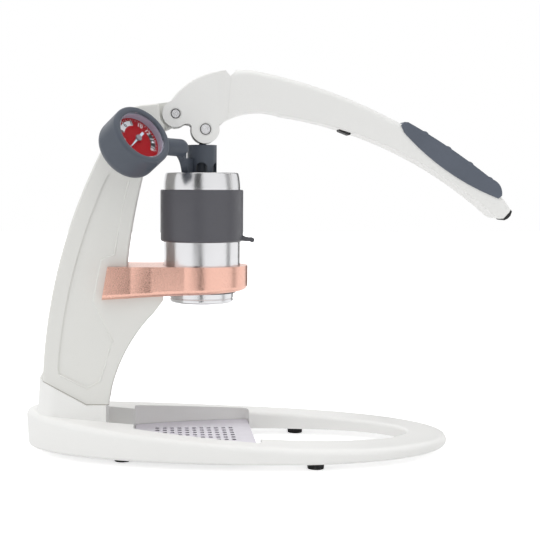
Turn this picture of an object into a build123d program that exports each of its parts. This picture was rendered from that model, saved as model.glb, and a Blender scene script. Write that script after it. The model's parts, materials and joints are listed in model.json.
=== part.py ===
"""Manual lever espresso maker: cast base and post, brew head in a yoke, plunger with gauge, and lever.

The lever and handle point along +X, +Z is up, and the origin is on the table under the middle of the
machine. Heights are measured from the table, and lengths along X from the axis of the brew head.
"""
import math
import os

from build123d import *

os.makedirs("parts", exist_ok=True)

# Overall layout
brew_axis_x = -50.2
running_fit = 0.05
slip_gap = 0.3

# Feet and their screws
foot_height = 5.6
foot_radius = 6.3
foot_taper = 0.6
foot_recess = 1.2
front_foot_x = 77.8
front_foot_y = 60.5
rear_foot_x = -57.9
rear_foot_y = 34.4
foot_screw_radius = 1.5
foot_screw_head_radius = 2.8
foot_screw_head = 1.6
foot_screw_cover = 1.2
foot_screw_length = 6.0

# Base casting
base_rear = 128.2
base_front = 183.4
base_widest = 60.0
base_half_width = 77.6
base_draft = -3.0
base_rear_height = 34.5
base_middle_height = 19.6
base_middle_at = 27.5
base_front_height = 13.6
base_overrun = 12.0
base_top_round = 4.6
base_bottom_round = 3.0
ring_start = 40.0
ring_width = 29.5
ring_top_round = 3.0
floor_thickness = 1.5

# Drip tray and grate
tray_gap = 0.5
tray_rear = 50.0
tray_half_rear = 44.5
tray_half_front = 64.8
tray_side_bulge = 2.6
tray_corner = 5.0
tray_sheet = 0.6
tray_depth = 2.3
grate_sheet = 0.8
grate_hole_x = 3.2
grate_hole_y = 4.8
grate_hole_corner = 1.4
grate_pitch_x = 5.66
grate_pitch_y = 8.3
grate_columns = 11
grate_rows = 8
grate_middle_x = -4.3

# Post casting and its bolts
seat_rear = 118.4
seat_front = 69.8
seat_half_width = 27.0
seat_corner = 13.0
seat_draft = 4.0
seat_root_z = 22.0
seat_rear_height = 57.5
seat_front_height = 38.6
seat_break = 84.0
post_foot_rear = 115.6
post_foot_front = 67.7
post_foot_half = 24.5
post_yoke_half = 22.0
post_top_half = 14.9
tongue_half = 9.9
post_edge_round = 1.6
panel_depth = 1.0
panel_corner = 2.5
post_bolt_radius = 3.0
post_bolt_head_radius = 5.0
post_bolt_head = 4.0
post_bolt_recess = 8.0
post_bolt_length = 46.0
post_bolt_rear_x = -105.0
post_bolt_front_x = -80.0

# Lever and its pivots
rear_pin_x = -19.65
rear_pin_z = 248.6
lever_arm = 24.2
lever_rest_angle = -27.0
rear_pin_radius = 3.5
front_pin_radius = 4.0
pin_end_setback = 0.3
pin_ring = 0.8
pin_ring_depth = 0.8
hub_radius = 9.6
lobe_radius = 10.2
slot_radius_rear = 15.0
slot_radius_front = 10.9
tongue_radius = 8.5
head_half = 16.0
cheek_inner = 10.3
facet_start = 10.5
facet_end = 20.6
beam_half = 13.0
beam_top_round = 4.5
beam_bottom_round = 0.9
head_round = 1.4

# Grip and bumpers
grip_half = 13.6
grip_core_half = 9.5
grip_edge_round = 2.5
bump_radius = 4.0
bump_rise = 0.9
bump_half_width = 11.5
bump_end_round = 2.5
bump_places = [(162.0, 236.4), (179.2, 225.6), (195.6, 214.4), (210.6, 203.3)]
bumper_half_width = 6.0
bumper_length = 9.0
bumper_drop = 2.4
bumper_recess = 2.0
under_bumper_x = 104.9
under_bumper_z = 237.6
bumper_run = (0.93, 0, -0.368)
tip_bumper_half_width = 9.0

# Press foot
eye_radius = 7.6
eye_gap = 0.4
bush_wall = 0.8
bush_flange_radius = 6.6
bush_flange = 0.8
shank_radius = 2.7
pad_radius = 4.4
pad_height = 3.4
pad_offset = -1.4
pad_gap = 0.5

# Yoke and its screws
yoke_top = 138.7
yoke_outer = 34.0
yoke_lower_bore = 25.7
yoke_seat_radius = 28.6
yoke_seat_z = 130.0
yoke_arm_half = 29.6
yoke_neck_half = 27.8
yoke_top_rear = 68.6
yoke_bottom_rear = 72.7
yoke_bottom_rear_z = 115.0
yoke_bottom_front_z = 120.8
yoke_bottom_round = 4.0
yoke_screw_radius = 2.0
yoke_screw_length = 34.5
yoke_screw_head_radius = 3.4
yoke_screw_head = 2.6
yoke_screw_seat_x = -29.4
yoke_screw_y = 9.0
yoke_screw_z = 125.4

# Brew head
cylinder_radius = 28.2
cylinder_bore = 21.4
cylinder_top = 206.5
cylinder_rim = 26.7
cylinder_shoulder = 11.5
cylinder_bulge = 45.0
cylinder_rim_round = 1.4
cylinder_floor = 134.5
sleeve_bottom = 156.0
sleeve_top = 194.0
sleeve_wall = 2.3
sleeve_corner = 1.9
tab_width = 12.0
tab_length = 8.0
tab_thickness = 2.4
tab_root = 4.8
portafilter_radius = 23.3
portafilter_bottom = 111.0
portafilter_corner = 2.0
portafilter_flange = 2.2
portafilter_wall = 1.1
portafilter_floor = 1.8
portafilter_outlet = 9.0
portafilter_groove = 0.5
portafilter_groove_z = 114.4
group_gasket_radius = 25.6
group_gasket_bottom = 118.4
group_gasket_height = 3.0
basket_radius = 21.7
basket_wall = 0.5
basket_depth = 19.0
basket_rim_radius = 24.0
basket_rim = 0.8
basket_hole_radius = 0.8
screen_hole_radius = 1.2
seat_gasket_gap = 0.3

# Plunger
stem_radius = 10.85
stem_top = 226.6
well_radius = 9.35
well_floor = 218.2
window_top = 213.8
window_bottom = 199.0
window_half_width = 4.2
window_count = 5
window_turn = -94.0
stem_bottom = 190.0
stem_foot = 6.0
cage_wall = 2.2
stem_core = 4.6
rod_radius = 4.0
rod_thread_radius = 3.0
piston_radius = 21.1
piston_bottom = 136.2
piston_height = 12.0
piston_thread = 7.0
seal_section = 1.3
seal_first = 3.2
seal_spacing = 5.6
web_thickness = 5.0
web_low_top = 216.6
web_bottom = 200.0
web_root_x = -8.5
web_root_y = -6.5
web_rise = 12.3
web_step = 10.4
web_shelf = 207.0
arm_radius = 6.2
arm_z = 223.9
arm_start_x = -16.8
arm_start_y = -22.9
arm_bend = 38.7
arm_rise = 2.4

# Gauge
gauge_arm_length = 42.6
gauge_turn = 49.0
gauge_tilt = 31.0
gauge_radius = 22.7
gauge_depth = 26.0
gauge_wall = 4.9
gauge_front_round = 2.2
gauge_back_round = 7.0
gauge_lip_round = 1.8
gauge_well = 8.0
dial_thickness = 0.8
inner_ring_wall = 0.7
glass_thickness = 1.4
glass_setback = 0.8
movement_radius = 13.0
movement_gap = 0.8
movement_depth = 10.0
connector_radius = 4.0
connector_depth = 7.0
pointer_hub_radius = 2.3
pointer_hub_height = 1.4
pointer_axle_radius = 0.8
pointer_length = 10.5
pointer_tail = 8.0
pointer_width = 1.5
pointer_thickness = 0.5
pointer_lift = 0.6
pointer_angle = 216.0

base_bottom = foot_height
foot_recess_radius = foot_radius + foot_taper * foot_recess / foot_height + running_fit
tray_floor_z = base_bottom + floor_thickness
front_pin_x = rear_pin_x + lever_arm * math.cos(math.radians(lever_rest_angle))
front_pin_z = rear_pin_z + lever_arm * math.sin(math.radians(lever_rest_angle))


def side(y=0.0):
    """Upright plane along the machine, with its origin on the table under the brew axis."""
    return Plane(origin=(brew_axis_x, y, 0), x_dir=(1, 0, 0), z_dir=(0, -1, 0))


def level(z=0.0):
    """Flat plane at a height, with its origin on the brew axis."""
    return Plane(origin=(brew_axis_x, 0, z))


def across():
    """Upright plane across the machine through the brew axis, seen from the front."""
    return Plane(origin=(brew_axis_x, 0, 0), x_dir=(0, 1, 0), z_dir=(1, 0, 0))


def brew_axis():
    """The upright axis of the brew head."""
    return Axis((brew_axis_x, 0, 0), (0, 0, 1))


def by_rear_pin(dx, dz):
    """Point of the side view at an offset from the rear pivot."""
    return (rear_pin_x + dx, rear_pin_z + dz)


def by_front_pin(dx, dz):
    """Point of the side view at an offset from the front pivot."""
    return (front_pin_x + dx, front_pin_z + dz)


def bush_seat(turn):
    """Face of the post's tongue at the rear pivot, seen from one side, turn is 1 or -1."""
    origin = (brew_axis_x + rear_pin_x, turn * tongue_half, rear_pin_z)
    return Plane(origin=origin, z_dir=(0, -turn, 0))


def yoke_screw_seat(turn):
    """Floor of a yoke screw's counterbore, with its normal towards the post."""
    origin = (brew_axis_x + yoke_screw_seat_x, turn * yoke_screw_y, yoke_screw_z)
    return Plane(origin=origin, z_dir=(-1, 0, 0))


def seat_height(x):
    """Height of the post's seat at a place along the machine."""
    if x > -seat_break:
        return seat_front_height
    slope = (seat_rear_height - seat_front_height) / (seat_rear - seat_break)
    return seat_front_height + slope * (-seat_break - x)


def yoke_underside(x):
    """Height of the yoke's slanting underside."""
    slope = (yoke_bottom_front_z - yoke_bottom_rear_z) / (yoke_outer + yoke_bottom_rear)
    return yoke_bottom_rear_z + slope * (x + yoke_bottom_rear)


def write(piece, name):
    """Labels a finished piece and writes its file."""
    piece.part.label = name
    export_step(piece.part, "parts/" + name + ".step")


foot_places = [
    (front_foot_x, front_foot_y),
    (front_foot_x, -front_foot_y),
    (rear_foot_x, rear_foot_y),
    (rear_foot_x, -rear_foot_y),
]
post_bolt_places = [(post_bolt_rear_x, 0), (post_bolt_front_x, 0)]
upward = (Align.CENTER, Align.CENTER, Align.MIN)
inward = (Align.CENTER, Align.CENTER, Align.MAX)


# Outline of the tray's pocket, which the tray and the grate also follow
with BuildSketch() as tray_plan:
    with BuildLine():
        tray_side = ThreePointArc(
            (-tray_rear, tray_half_rear),
            ((ring_start - tray_rear) / 2, (tray_half_rear + tray_half_front) / 2 + tray_side_bulge),
            (ring_start, tray_half_front),
        )
        Line(tray_side @ 0, (-tray_rear, 0))
        Line(tray_side @ 1, (ring_start, 0))
        mirror(about=Plane.XZ)
    make_face()
    fillet(tray_plan.vertices().filter_by(lambda v: abs(v.Y) > 1), radius=tray_corner)


# Base: an egg-shaped plan under a dished top, with the ring opening, tray pocket and post seat
with BuildPart() as base:
    with BuildSketch(level(base_bottom)):
        with BuildLine():
            middle = (base_widest, 0)
            EllipticalCenterArc(middle, base_front - base_widest, base_half_width, -90, arc_size=180)
            EllipticalCenterArc(middle, base_rear + base_widest, base_half_width, 90, arc_size=180)
        make_face()
    extrude(amount=base_rear_height + 5, taper=base_draft)
    with BuildSketch(side()):
        with BuildLine():
            top_line = ThreePointArc(
                (-base_rear - base_overrun, base_rear_height),
                (base_middle_at, base_middle_height),
                (base_front + base_overrun, base_front_height),
            )
            Polyline(
                top_line @ 1,
                (base_front + base_overrun, 2 * base_rear_height),
                (-base_rear - base_overrun, 2 * base_rear_height),
                top_line @ 0,
            )
        make_face()
    extrude(amount=base_half_width + 20, both=True, mode=Mode.SUBTRACT)
    fillet(base.edges().group_by(Axis.Z)[0], radius=base_bottom_round)
    dished_top = base.faces().filter_by(GeomType.CYLINDER).sort_by(Axis.Z)[-1]
    fillet(dished_top.outer_wire().edges(), radius=base_top_round)
    with BuildSketch(level(0)):
        with BuildLine():
            ring_arc = EllipticalCenterArc(
                (ring_start, 0),
                base_front - ring_width - ring_start,
                base_half_width - ring_width,
                -90,
                arc_size=180,
            )
            Line(ring_arc @ 1, ring_arc @ 0)
        make_face()
    extrude(amount=base_rear_height + 5, mode=Mode.SUBTRACT)
    ring_front = (brew_axis_x + base_front - ring_width, 0, 2 * base_bottom)
    ring_wall = base.faces().sort_by_distance(ring_front)[0]
    fillet(ring_wall.edges().sort_by(Axis.Z)[-1], radius=ring_top_round)
    with BuildSketch(level(tray_floor_z)):
        add(tray_plan.sketch_local)
    extrude(amount=base_rear_height + 5, mode=Mode.SUBTRACT)
    with BuildSketch(level(seat_root_z)) as seat_plan:
        with Locations((-(seat_rear + seat_front) / 2, 0)):
            Rectangle(seat_rear - seat_front, 2 * seat_half_width)
        fillet(seat_plan.vertices().group_by(Axis.X)[0], radius=seat_corner)
        offset(amount=(seat_rear_height - seat_root_z) * math.tan(math.radians(seat_draft)))
    extrude(amount=seat_rear_height + 2 - seat_root_z, taper=seat_draft)
    with BuildSketch(level(tray_floor_z)):
        with Locations((-tray_rear + 1, 0)):
            Rectangle(seat_front - tray_rear + 1, 2 * seat_half_width + 6, align=(Align.MAX, Align.CENTER))
    extrude(amount=seat_rear_height + 20, mode=Mode.SUBTRACT)
    with BuildSketch(side()):
        Polygon(
            (-seat_rear - 1, seat_height(-seat_rear - 1)),
            (-seat_break, seat_front_height),
            (-seat_front + 1, seat_front_height),
            (-seat_front + 1, seat_rear_height + 20),
            (-seat_rear - 1, seat_rear_height + 20),
            align=None,
        )
    extrude(amount=seat_half_width + 5, both=True, mode=Mode.SUBTRACT)
    with Locations(level(base_bottom)):
        with Locations(*foot_places):
            Cylinder(foot_recess_radius, foot_recess, align=upward, mode=Mode.SUBTRACT)
            Cylinder(foot_screw_radius, foot_recess + foot_screw_length, align=upward, mode=Mode.SUBTRACT)
        with Locations(*post_bolt_places):
            Cylinder(post_bolt_radius + slip_gap, seat_rear_height, align=upward, mode=Mode.SUBTRACT)
            Cylinder(post_bolt_head_radius + slip_gap, post_bolt_recess, align=upward, mode=Mode.SUBTRACT)
write(base, "base")

# Rubber feet in shallow recesses, with a bored underside for their screws
with BuildPart() as feet:
    with BuildSketch(level(0)):
        with Locations(*foot_places):
            Circle(foot_radius - foot_taper)
    extrude(amount=foot_height + foot_recess, taper=-math.degrees(math.atan(foot_taper / foot_height)))
    with Locations(level(0)):
        with Locations(*foot_places):
            Cylinder(
                foot_screw_head_radius + slip_gap,
                foot_screw_cover + foot_screw_head,
                align=upward,
                mode=Mode.SUBTRACT,
            )
            Cylinder(foot_screw_radius, foot_height + foot_recess, align=upward, mode=Mode.SUBTRACT)
write(feet, "feet")

foot_screw_shank = foot_height + foot_recess + foot_screw_length - foot_screw_cover - 1
with BuildPart() as foot_screws:
    with Locations(level(foot_screw_cover)):
        with Locations(*foot_places):
            Cylinder(foot_screw_head_radius, foot_screw_head, align=upward)
            Cylinder(foot_screw_radius, foot_screw_shank, align=upward)
            Cylinder(foot_screw_radius - 0.4, 0.8, align=upward, mode=Mode.SUBTRACT)
write(foot_screws, "foot_screws")

# Drip tray: a shallow pan that lies in the pocket, under the grate
with BuildPart() as drip_tray:
    with BuildSketch(level(tray_floor_z)):
        add(tray_plan.sketch_local)
        offset(amount=-tray_gap)
    extrude(amount=tray_depth)
    with BuildSketch(level(tray_floor_z + tray_sheet)):
        add(tray_plan.sketch_local)
        offset(amount=-tray_gap - tray_sheet)
    extrude(amount=tray_depth, mode=Mode.SUBTRACT)
write(drip_tray, "drip_tray")

# Drip grate: flat plate with rounded slots, held on the tray's rim by its turned edge
with BuildPart() as drip_grate:
    with BuildSketch(level(tray_floor_z + tray_depth)):
        add(tray_plan.sketch_local)
        offset(amount=-tray_gap)
        with Locations((grate_middle_x, 0)):
            with GridLocations(grate_pitch_x, grate_pitch_y, grate_columns, grate_rows):
                RectangleRounded(grate_hole_x, grate_hole_y, grate_hole_corner, mode=Mode.SUBTRACT)
    extrude(amount=grate_sheet)
write(drip_grate, "drip_grate")

# Post: a curved profile, tapered across, with a tongue between the lever's cheeks and recessed flanks
with BuildPart() as post:
    with BuildSketch(side()):
        with BuildLine():
            rear_edge = ThreePointArc(
                (-post_foot_rear, seat_height(-post_foot_rear)), (-105.3, 133.6), (-61.4, 243.6)
            )
            top_corner = ThreePointArc(rear_edge @ 1, (-52.6, 251.8), (-40.5, 255.0))
            Polyline(top_corner @ 1, (-31.5, 256.1), by_rear_pin(-11.3, 0))
            relief = ThreePointArc(by_rear_pin(-11.3, 0), by_rear_pin(-10.4, -4.4), by_rear_pin(-7.9, -8.1))
            Polyline(relief @ 1, (-27.5, 236.5), (-43.3, 203.3))
            neck = ThreePointArc((-43.3, 203.3), (-51.6, 162.8), (-54.4, 142.4))
            Polyline(
                neck @ 1,
                (-54.9, yoke_underside(-54.9)),
                (-28.6, yoke_underside(-28.6)),
                (-28.3, yoke_underside(-28.6) - 2.5),
                (-29.8, 112.6),
                (-35.5, 105.0),
            )
            belly = ThreePointArc((-35.5, 105.0), (-59.1, 69.9), (-post_foot_front, seat_front_height))
            Polyline(belly @ 1, (-seat_break, seat_front_height), rear_edge @ 0)
        make_face()
    extrude(amount=post_foot_half + 2, both=True)
    with BuildSketch(across()) as post_front_view:
        with BuildLine():
            flank = ThreePointArc((post_foot_half, 30), (post_yoke_half, 140), (post_top_half, 260))
            Line(flank @ 0, (0, 30))
            Line(flank @ 1, (0, 260))
            mirror(about=Plane.YZ)
        make_face()
    extrude(amount=150, both=True, mode=Mode.INTERSECT)
    flanks = post.faces().filter_by(lambda f: abs(f.normal_at().Y) > 0.9)
    flank_edges = ShapeList([edge for face in flanks for edge in face.outer_wire().edges()])
    fillet(flank_edges.filter_by(lambda edge: edge.center().Z > yoke_underside(0)), radius=post_edge_round)
    flanks = post.faces().filter_by(lambda f: abs(f.normal_at().Y) > 0.9)
    flank_edges = ShapeList([edge for face in flanks for edge in face.outer_wire().edges()])
    belly_edges = flank_edges.filter_by(lambda edge: seat_rear_height < edge.center().Z < 100)
    fillet(belly_edges, radius=post_edge_round)
    with BuildSketch(side()):
        with BuildLine():
            Polyline(
                (-36, 236),
                (-38, 250),
                (-38, 254.95),
                (-26.7, 256.9),
                by_rear_pin(0, tongue_radius),
            )
            tongue_end = ThreePointArc(
                by_rear_pin(0, tongue_radius), by_rear_pin(tongue_radius, 0), by_rear_pin(0, -tongue_radius)
            )
            Polyline(tongue_end @ 1, (-27.5, 236.5), (-36, 236))
        make_face()
    extrude(amount=tongue_half, both=True)

# The flanks' recesses follow the taper at an even depth
with BuildPart() as post_panels:
    with BuildSketch(side()) as panel_plan:
        with BuildLine():
            panel_rear = ThreePointArc((-104.6, 66.0), (-94.8, 128.9), (-67.9, 206.2))
            Line(panel_rear @ 1, (-52.3, 200.4))
            panel_neck = ThreePointArc((-52.3, 200.4), (-58.9, 174.0), (-63.6, 147.1))
            Polyline(panel_neck @ 1, (-72.9, 143.4), (-78.5, 113.4), (-64.8, 84.5))
            panel_belly = ThreePointArc((-64.8, 84.5), (-69.9, 68.5), (-74.1, 55.8))
            Polyline(panel_belly @ 1, (-83.9, 50.7), (-103.6, 60.6), panel_rear @ 0)
        make_face()
        fillet(panel_plan.vertices(), radius=panel_corner)
    extrude(amount=post_foot_half + 2, both=True)
    with BuildSketch(across()):
        add(post_front_view.sketch_local)
        offset(amount=-panel_depth)
    extrude(amount=150, both=True, mode=Mode.SUBTRACT)

# Yoke: a ring on two arms that hold the post between them, with a slanting underside
with BuildPart() as yoke:
    with BuildSketch(level(yoke_bottom_rear_z - 5)) as yoke_plan:
        with BuildLine():
            arm_side = Line((-yoke_bottom_rear - 5, yoke_arm_half), (-54, yoke_arm_half))
            waist = ThreePointArc(arm_side @ 1, (-45, yoke_neck_half + 0.5), (-36, yoke_neck_half))
            shoulder = Line(waist @ 1, (-14.4, 30.8))
            Line(arm_side @ 0, (-yoke_bottom_rear - 5, 0))
            Line(shoulder @ 1, (-14.4, 0))
            mirror(about=Plane.XZ)
        make_face()
        Circle(yoke_outer)
    extrude(amount=yoke_top - yoke_bottom_rear_z + 10)
    with BuildSketch(side()):
        Polygon(
            (-yoke_bottom_rear, yoke_underside(-yoke_bottom_rear)),
            (-yoke_top_rear, yoke_top),
            (yoke_outer + 5, yoke_top),
            (yoke_outer + 5, yoke_underside(yoke_outer + 5)),
            align=None,
        )
    extrude(amount=yoke_outer + 5, both=True, mode=Mode.INTERSECT)
    underside = yoke.faces().sort_by(Axis.Z)[0]
    fillet(underside.edges().sort_by(Axis.X)[1:], radius=yoke_bottom_round)
    add(post.part, mode=Mode.SUBTRACT)
    with Locations(level(0)):
        Cylinder(yoke_lower_bore, yoke_top + 10, align=upward, mode=Mode.SUBTRACT)
    with Locations(level(yoke_seat_z)):
        Cylinder(yoke_seat_radius, yoke_top, align=upward, mode=Mode.SUBTRACT)
    for turn in (1, -1):
        with Locations(yoke_screw_seat(turn)):
            Cylinder(yoke_screw_head_radius + slip_gap, 8, align=inward, mode=Mode.SUBTRACT)
            Cylinder(yoke_screw_radius, yoke_screw_length, align=upward, mode=Mode.SUBTRACT)
write(yoke, "yoke")

# The post takes its recessed flanks and the bores for its bush, yoke screws and base bolts
with post:
    add(post_panels.part, mode=Mode.SUBTRACT)
    with Locations(side(0)):
        with Locations((rear_pin_x, rear_pin_z)):
            Cylinder(rear_pin_radius + bush_wall, 3 * tongue_half, mode=Mode.SUBTRACT)
    with Locations(level(base_bottom + post_bolt_recess)):
        with Locations(*post_bolt_places):
            Cylinder(post_bolt_radius, post_bolt_length, align=upward, mode=Mode.SUBTRACT)
    for turn in (1, -1):
        with Locations(bush_seat(turn)):
            Cylinder(bush_flange_radius, bush_flange, align=upward, mode=Mode.SUBTRACT)
        with Locations(yoke_screw_seat(turn)):
            Cylinder(yoke_screw_radius, yoke_screw_length, align=upward, mode=Mode.SUBTRACT)
write(post, "post")

with BuildPart() as post_bolts:
    with Locations(level(base_bottom + post_bolt_recess)):
        with Locations(*post_bolt_places):
            Cylinder(post_bolt_radius, post_bolt_length, align=upward)
    with Locations(level(base_bottom + post_bolt_recess - post_bolt_head)):
        with Locations(*post_bolt_places):
            Cylinder(post_bolt_head_radius, post_bolt_head, align=upward)
        with BuildSketch(level(base_bottom + post_bolt_recess - post_bolt_head)):
            with Locations(*post_bolt_places):
                RegularPolygon(post_bolt_radius * 0.9, 6)
        extrude(amount=post_bolt_head * 0.6, mode=Mode.SUBTRACT)
write(post_bolts, "post_bolts")

with BuildPart() as yoke_screws:
    for turn in (1, -1):
        with Locations(yoke_screw_seat(turn)):
            Cylinder(yoke_screw_head_radius, yoke_screw_head, align=inward)
            Cylinder(yoke_screw_radius, yoke_screw_length, align=upward)
write(yoke_screws, "yoke_screws")

# Flanged bushes pressed into the post's tongue from both sides
with BuildPart() as pivot_bushes:
    for turn in (1, -1):
        with Locations(bush_seat(turn)):
            Cylinder(bush_flange_radius, bush_flange, align=upward)
            Cylinder(rear_pin_radius + bush_wall, tongue_half - slip_gap, align=upward)
            Cylinder(rear_pin_radius, tongue_half, align=upward, mode=Mode.SUBTRACT)
write(pivot_bushes, "pivot_bushes")

with BuildPart() as rear_pin:
    with Locations(side(0)):
        with Locations((rear_pin_x, rear_pin_z)):
            Cylinder(rear_pin_radius, 2 * (head_half - pin_end_setback))
    chamfer(rear_pin.edges(), length=0.4)
write(rear_pin, "rear_pin")

# Portafilter with its rim on the yoke's ledge, a groove round its foot and an outlet
head_seat = yoke_seat_z + portafilter_flange
with BuildPart() as portafilter:
    with BuildSketch(side()) as cup_section:
        with BuildLine():
            Polyline(
                (portafilter_outlet, portafilter_bottom),
                (portafilter_radius, portafilter_bottom),
                (portafilter_radius, yoke_seat_z),
                (yoke_seat_radius - slip_gap, yoke_seat_z),
                (yoke_seat_radius - slip_gap, head_seat),
                (portafilter_radius - portafilter_wall, head_seat),
                (portafilter_radius - portafilter_wall, portafilter_bottom + portafilter_floor),
                (portafilter_outlet, portafilter_bottom + portafilter_floor),
                close=True,
            )
        make_face()
        foot_corner = cup_section.vertices().sort_by_distance((portafilter_radius, portafilter_bottom))[0]
        fillet(foot_corner, radius=portafilter_corner)
        with Locations((portafilter_radius, portafilter_groove_z)):
            Circle(portafilter_groove, mode=Mode.SUBTRACT)
    revolve(axis=brew_axis())
write(portafilter, "portafilter")

with BuildPart() as group_gasket:
    with BuildSketch(level(group_gasket_bottom)):
        Circle(group_gasket_radius)
        Circle(portafilter_radius, mode=Mode.SUBTRACT)
    extrude(amount=group_gasket_height)
    fillet(group_gasket.edges().group_by(Axis.Z)[0].sort_by(SortBy.RADIUS)[-1], radius=0.8)
write(group_gasket, "group_gasket")

# Filter basket: a thin cup whose rim lies on the portafilter's, with rings of holes in its floor
with BuildPart() as filter_basket:
    with BuildSketch(side()):
        Polygon(
            (0, head_seat - basket_depth),
            (basket_radius - 1.5, head_seat - basket_depth),
            (basket_radius, head_seat - basket_depth + 4),
            (basket_radius, head_seat),
            (basket_rim_radius, head_seat),
            (basket_rim_radius, head_seat + basket_rim),
            (basket_radius - basket_wall, head_seat + basket_rim),
            (basket_radius - basket_wall, head_seat - basket_depth + 4),
            (basket_radius - 1.5 - basket_wall, head_seat - basket_depth + basket_wall),
            (0, head_seat - basket_depth + basket_wall),
            align=None,
        )
    revolve(axis=brew_axis())
    with BuildSketch(level(head_seat - basket_depth - 1)):
        for ring in (1, 2, 3):
            with PolarLocations(5 * ring, 6 * ring):
                Circle(basket_hole_radius)
    extrude(amount=basket_wall + 2, mode=Mode.SUBTRACT)
write(filter_basket, "filter_basket")

with BuildPart() as dispersion_screen:
    with BuildSketch(level(head_seat + basket_rim)):
        Circle(basket_rim_radius)
        for ring in (1, 2, 3):
            with PolarLocations(5.5 * ring, 6 * ring):
                Circle(screen_hole_radius, mode=Mode.SUBTRACT)
    extrude(amount=cylinder_floor - head_seat - basket_rim)
write(dispersion_screen, "dispersion_screen")

with BuildPart() as seat_gasket:
    with BuildSketch(level(head_seat)):
        Circle(yoke_seat_radius - slip_gap)
        Circle(basket_rim_radius + seat_gasket_gap, mode=Mode.SUBTRACT)
    extrude(amount=cylinder_floor - head_seat)
write(seat_gasket, "seat_gasket")

# Brew cylinder with a domed shoulder, and the grip sleeve stretched over it
with BuildPart() as brew_cylinder:
    with BuildSketch(side()):
        with BuildLine():
            Polyline((cylinder_bore, cylinder_floor), (cylinder_radius, cylinder_floor))
            wall = Line(
                (cylinder_radius, cylinder_floor), (cylinder_radius, cylinder_top - cylinder_shoulder)
            )
            shoulder = RadiusArc(wall @ 1, (cylinder_rim, cylinder_top), -cylinder_bulge)
            Polyline(shoulder @ 1, (cylinder_bore, cylinder_top), (cylinder_bore, cylinder_floor))
        make_face()
    revolve(axis=brew_axis())
    top_rims = brew_cylinder.edges().filter_by(GeomType.CIRCLE).group_by(Axis.Z)[-1]
    fillet(top_rims.sort_by(SortBy.RADIUS)[-1], radius=cylinder_rim_round)
    fillet(top_rims.sort_by(SortBy.RADIUS)[0], radius=cylinder_rim_round / 2)
write(brew_cylinder, "brew_cylinder")

with BuildPart() as grip_sleeve:
    with BuildSketch(level(sleeve_bottom)):
        Circle(cylinder_radius + sleeve_wall)
    extrude(amount=sleeve_top - sleeve_bottom)
    fillet(grip_sleeve.edges().group_by(Axis.Z)[0], radius=sleeve_corner)
    fillet(grip_sleeve.edges().group_by(Axis.Z)[-1], radius=sleeve_corner / 2)
    with BuildSketch(side()):
        with BuildLine():
            tab_tip = cylinder_radius + sleeve_wall + tab_length
            Polyline(
                (cylinder_radius, sleeve_bottom + tab_root),
                (cylinder_radius, sleeve_bottom + 0.6),
                (tab_tip - 3, sleeve_bottom + 0.2),
            )
            ThreePointArc(
                (tab_tip - 3, sleeve_bottom + 0.2),
                (tab_tip, sleeve_bottom + 1.9),
                (tab_tip - 1.4, sleeve_bottom + 0.6 + tab_thickness),
            )
            ThreePointArc(
                (tab_tip - 1.4, sleeve_bottom + 0.6 + tab_thickness),
                (tab_tip - 5.5, sleeve_bottom + 0.9 + tab_thickness),
                (cylinder_radius + sleeve_wall - 0.4, sleeve_bottom + tab_root),
            )
            Line(
                (cylinder_radius + sleeve_wall - 0.4, sleeve_bottom + tab_root),
                (cylinder_radius, sleeve_bottom + tab_root),
            )
        make_face()
    extrude(amount=tab_width / 2, both=True)
    tab_corners = grip_sleeve.edges().filter_by(Axis.Y).sort_by(Axis.X)
    with Locations(level(sleeve_bottom - 1)):
        Cylinder(cylinder_radius, sleeve_top, align=upward, mode=Mode.SUBTRACT)
write(grip_sleeve, "grip_sleeve")

# Piston, its two seals and the rod up to the stem
seal_centre = cylinder_bore - running_fit - seal_section
seal_heights = [piston_bottom + seal_first, piston_bottom + seal_first + seal_spacing]
piston_top = piston_bottom + piston_height
with BuildPart() as piston:
    with BuildSketch(side()):
        Polygon(
            (0, piston_bottom),
            (piston_radius, piston_bottom),
            (piston_radius, piston_top),
            (rod_thread_radius, piston_top),
            (rod_thread_radius, piston_top - piston_thread),
            (0, piston_top - piston_thread),
            align=None,
        )
        for height in seal_heights:
            with Locations((piston_radius, height)):
                Rectangle(
                    2 * (piston_radius - seal_centre + seal_section),
                    2 * seal_section + 0.2,
                    mode=Mode.SUBTRACT,
                )
    revolve(axis=brew_axis())
write(piston, "piston")

with BuildPart() as piston_seals:
    with BuildSketch(side()):
        for height in seal_heights:
            with Locations((seal_centre, height)):
                Circle(seal_section)
    revolve(axis=brew_axis())
write(piston_seals, "piston_seals")

with BuildPart() as plunger_rod:
    with Locations(level(piston_top - piston_thread)):
        Cylinder(rod_thread_radius, stem_bottom + stem_foot - piston_top + piston_thread, align=upward)
    with Locations(level(piston_top)):
        Cylinder(rod_radius, stem_bottom - piston_top, align=upward)
write(plunger_rod, "plunger_rod")

# Directions of the gauge's arm and face
arm_run = math.cos(math.radians(arm_rise))
arm_way = Vector(
    -math.cos(math.radians(arm_bend)) * arm_run,
    -math.sin(math.radians(arm_bend)) * arm_run,
    math.sin(math.radians(arm_rise)),
)
gauge_lean = math.cos(math.radians(gauge_tilt))
gauge_way = Vector(
    math.cos(math.radians(gauge_turn)) * gauge_lean,
    -math.sin(math.radians(gauge_turn)) * gauge_lean,
    math.sin(math.radians(gauge_tilt)),
)
gauge_right = Vector(math.sin(math.radians(gauge_turn)), math.cos(math.radians(gauge_turn)), 0)
arm_start = Vector(brew_axis_x + arm_start_x, arm_start_y, arm_z)
gauge_middle = arm_start + arm_way * gauge_arm_length
gauge_front = gauge_middle + gauge_way * (gauge_depth / 2)
arm_plane = Plane(origin=arm_start, z_dir=arm_way)
gauge_plane = Plane(origin=gauge_front, x_dir=gauge_right, z_dir=gauge_way)
web_root = Vector(brew_axis_x + web_root_x, web_root_y, 0)
web_run = Vector(arm_start.X, arm_start.Y, 0) - web_root
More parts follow.
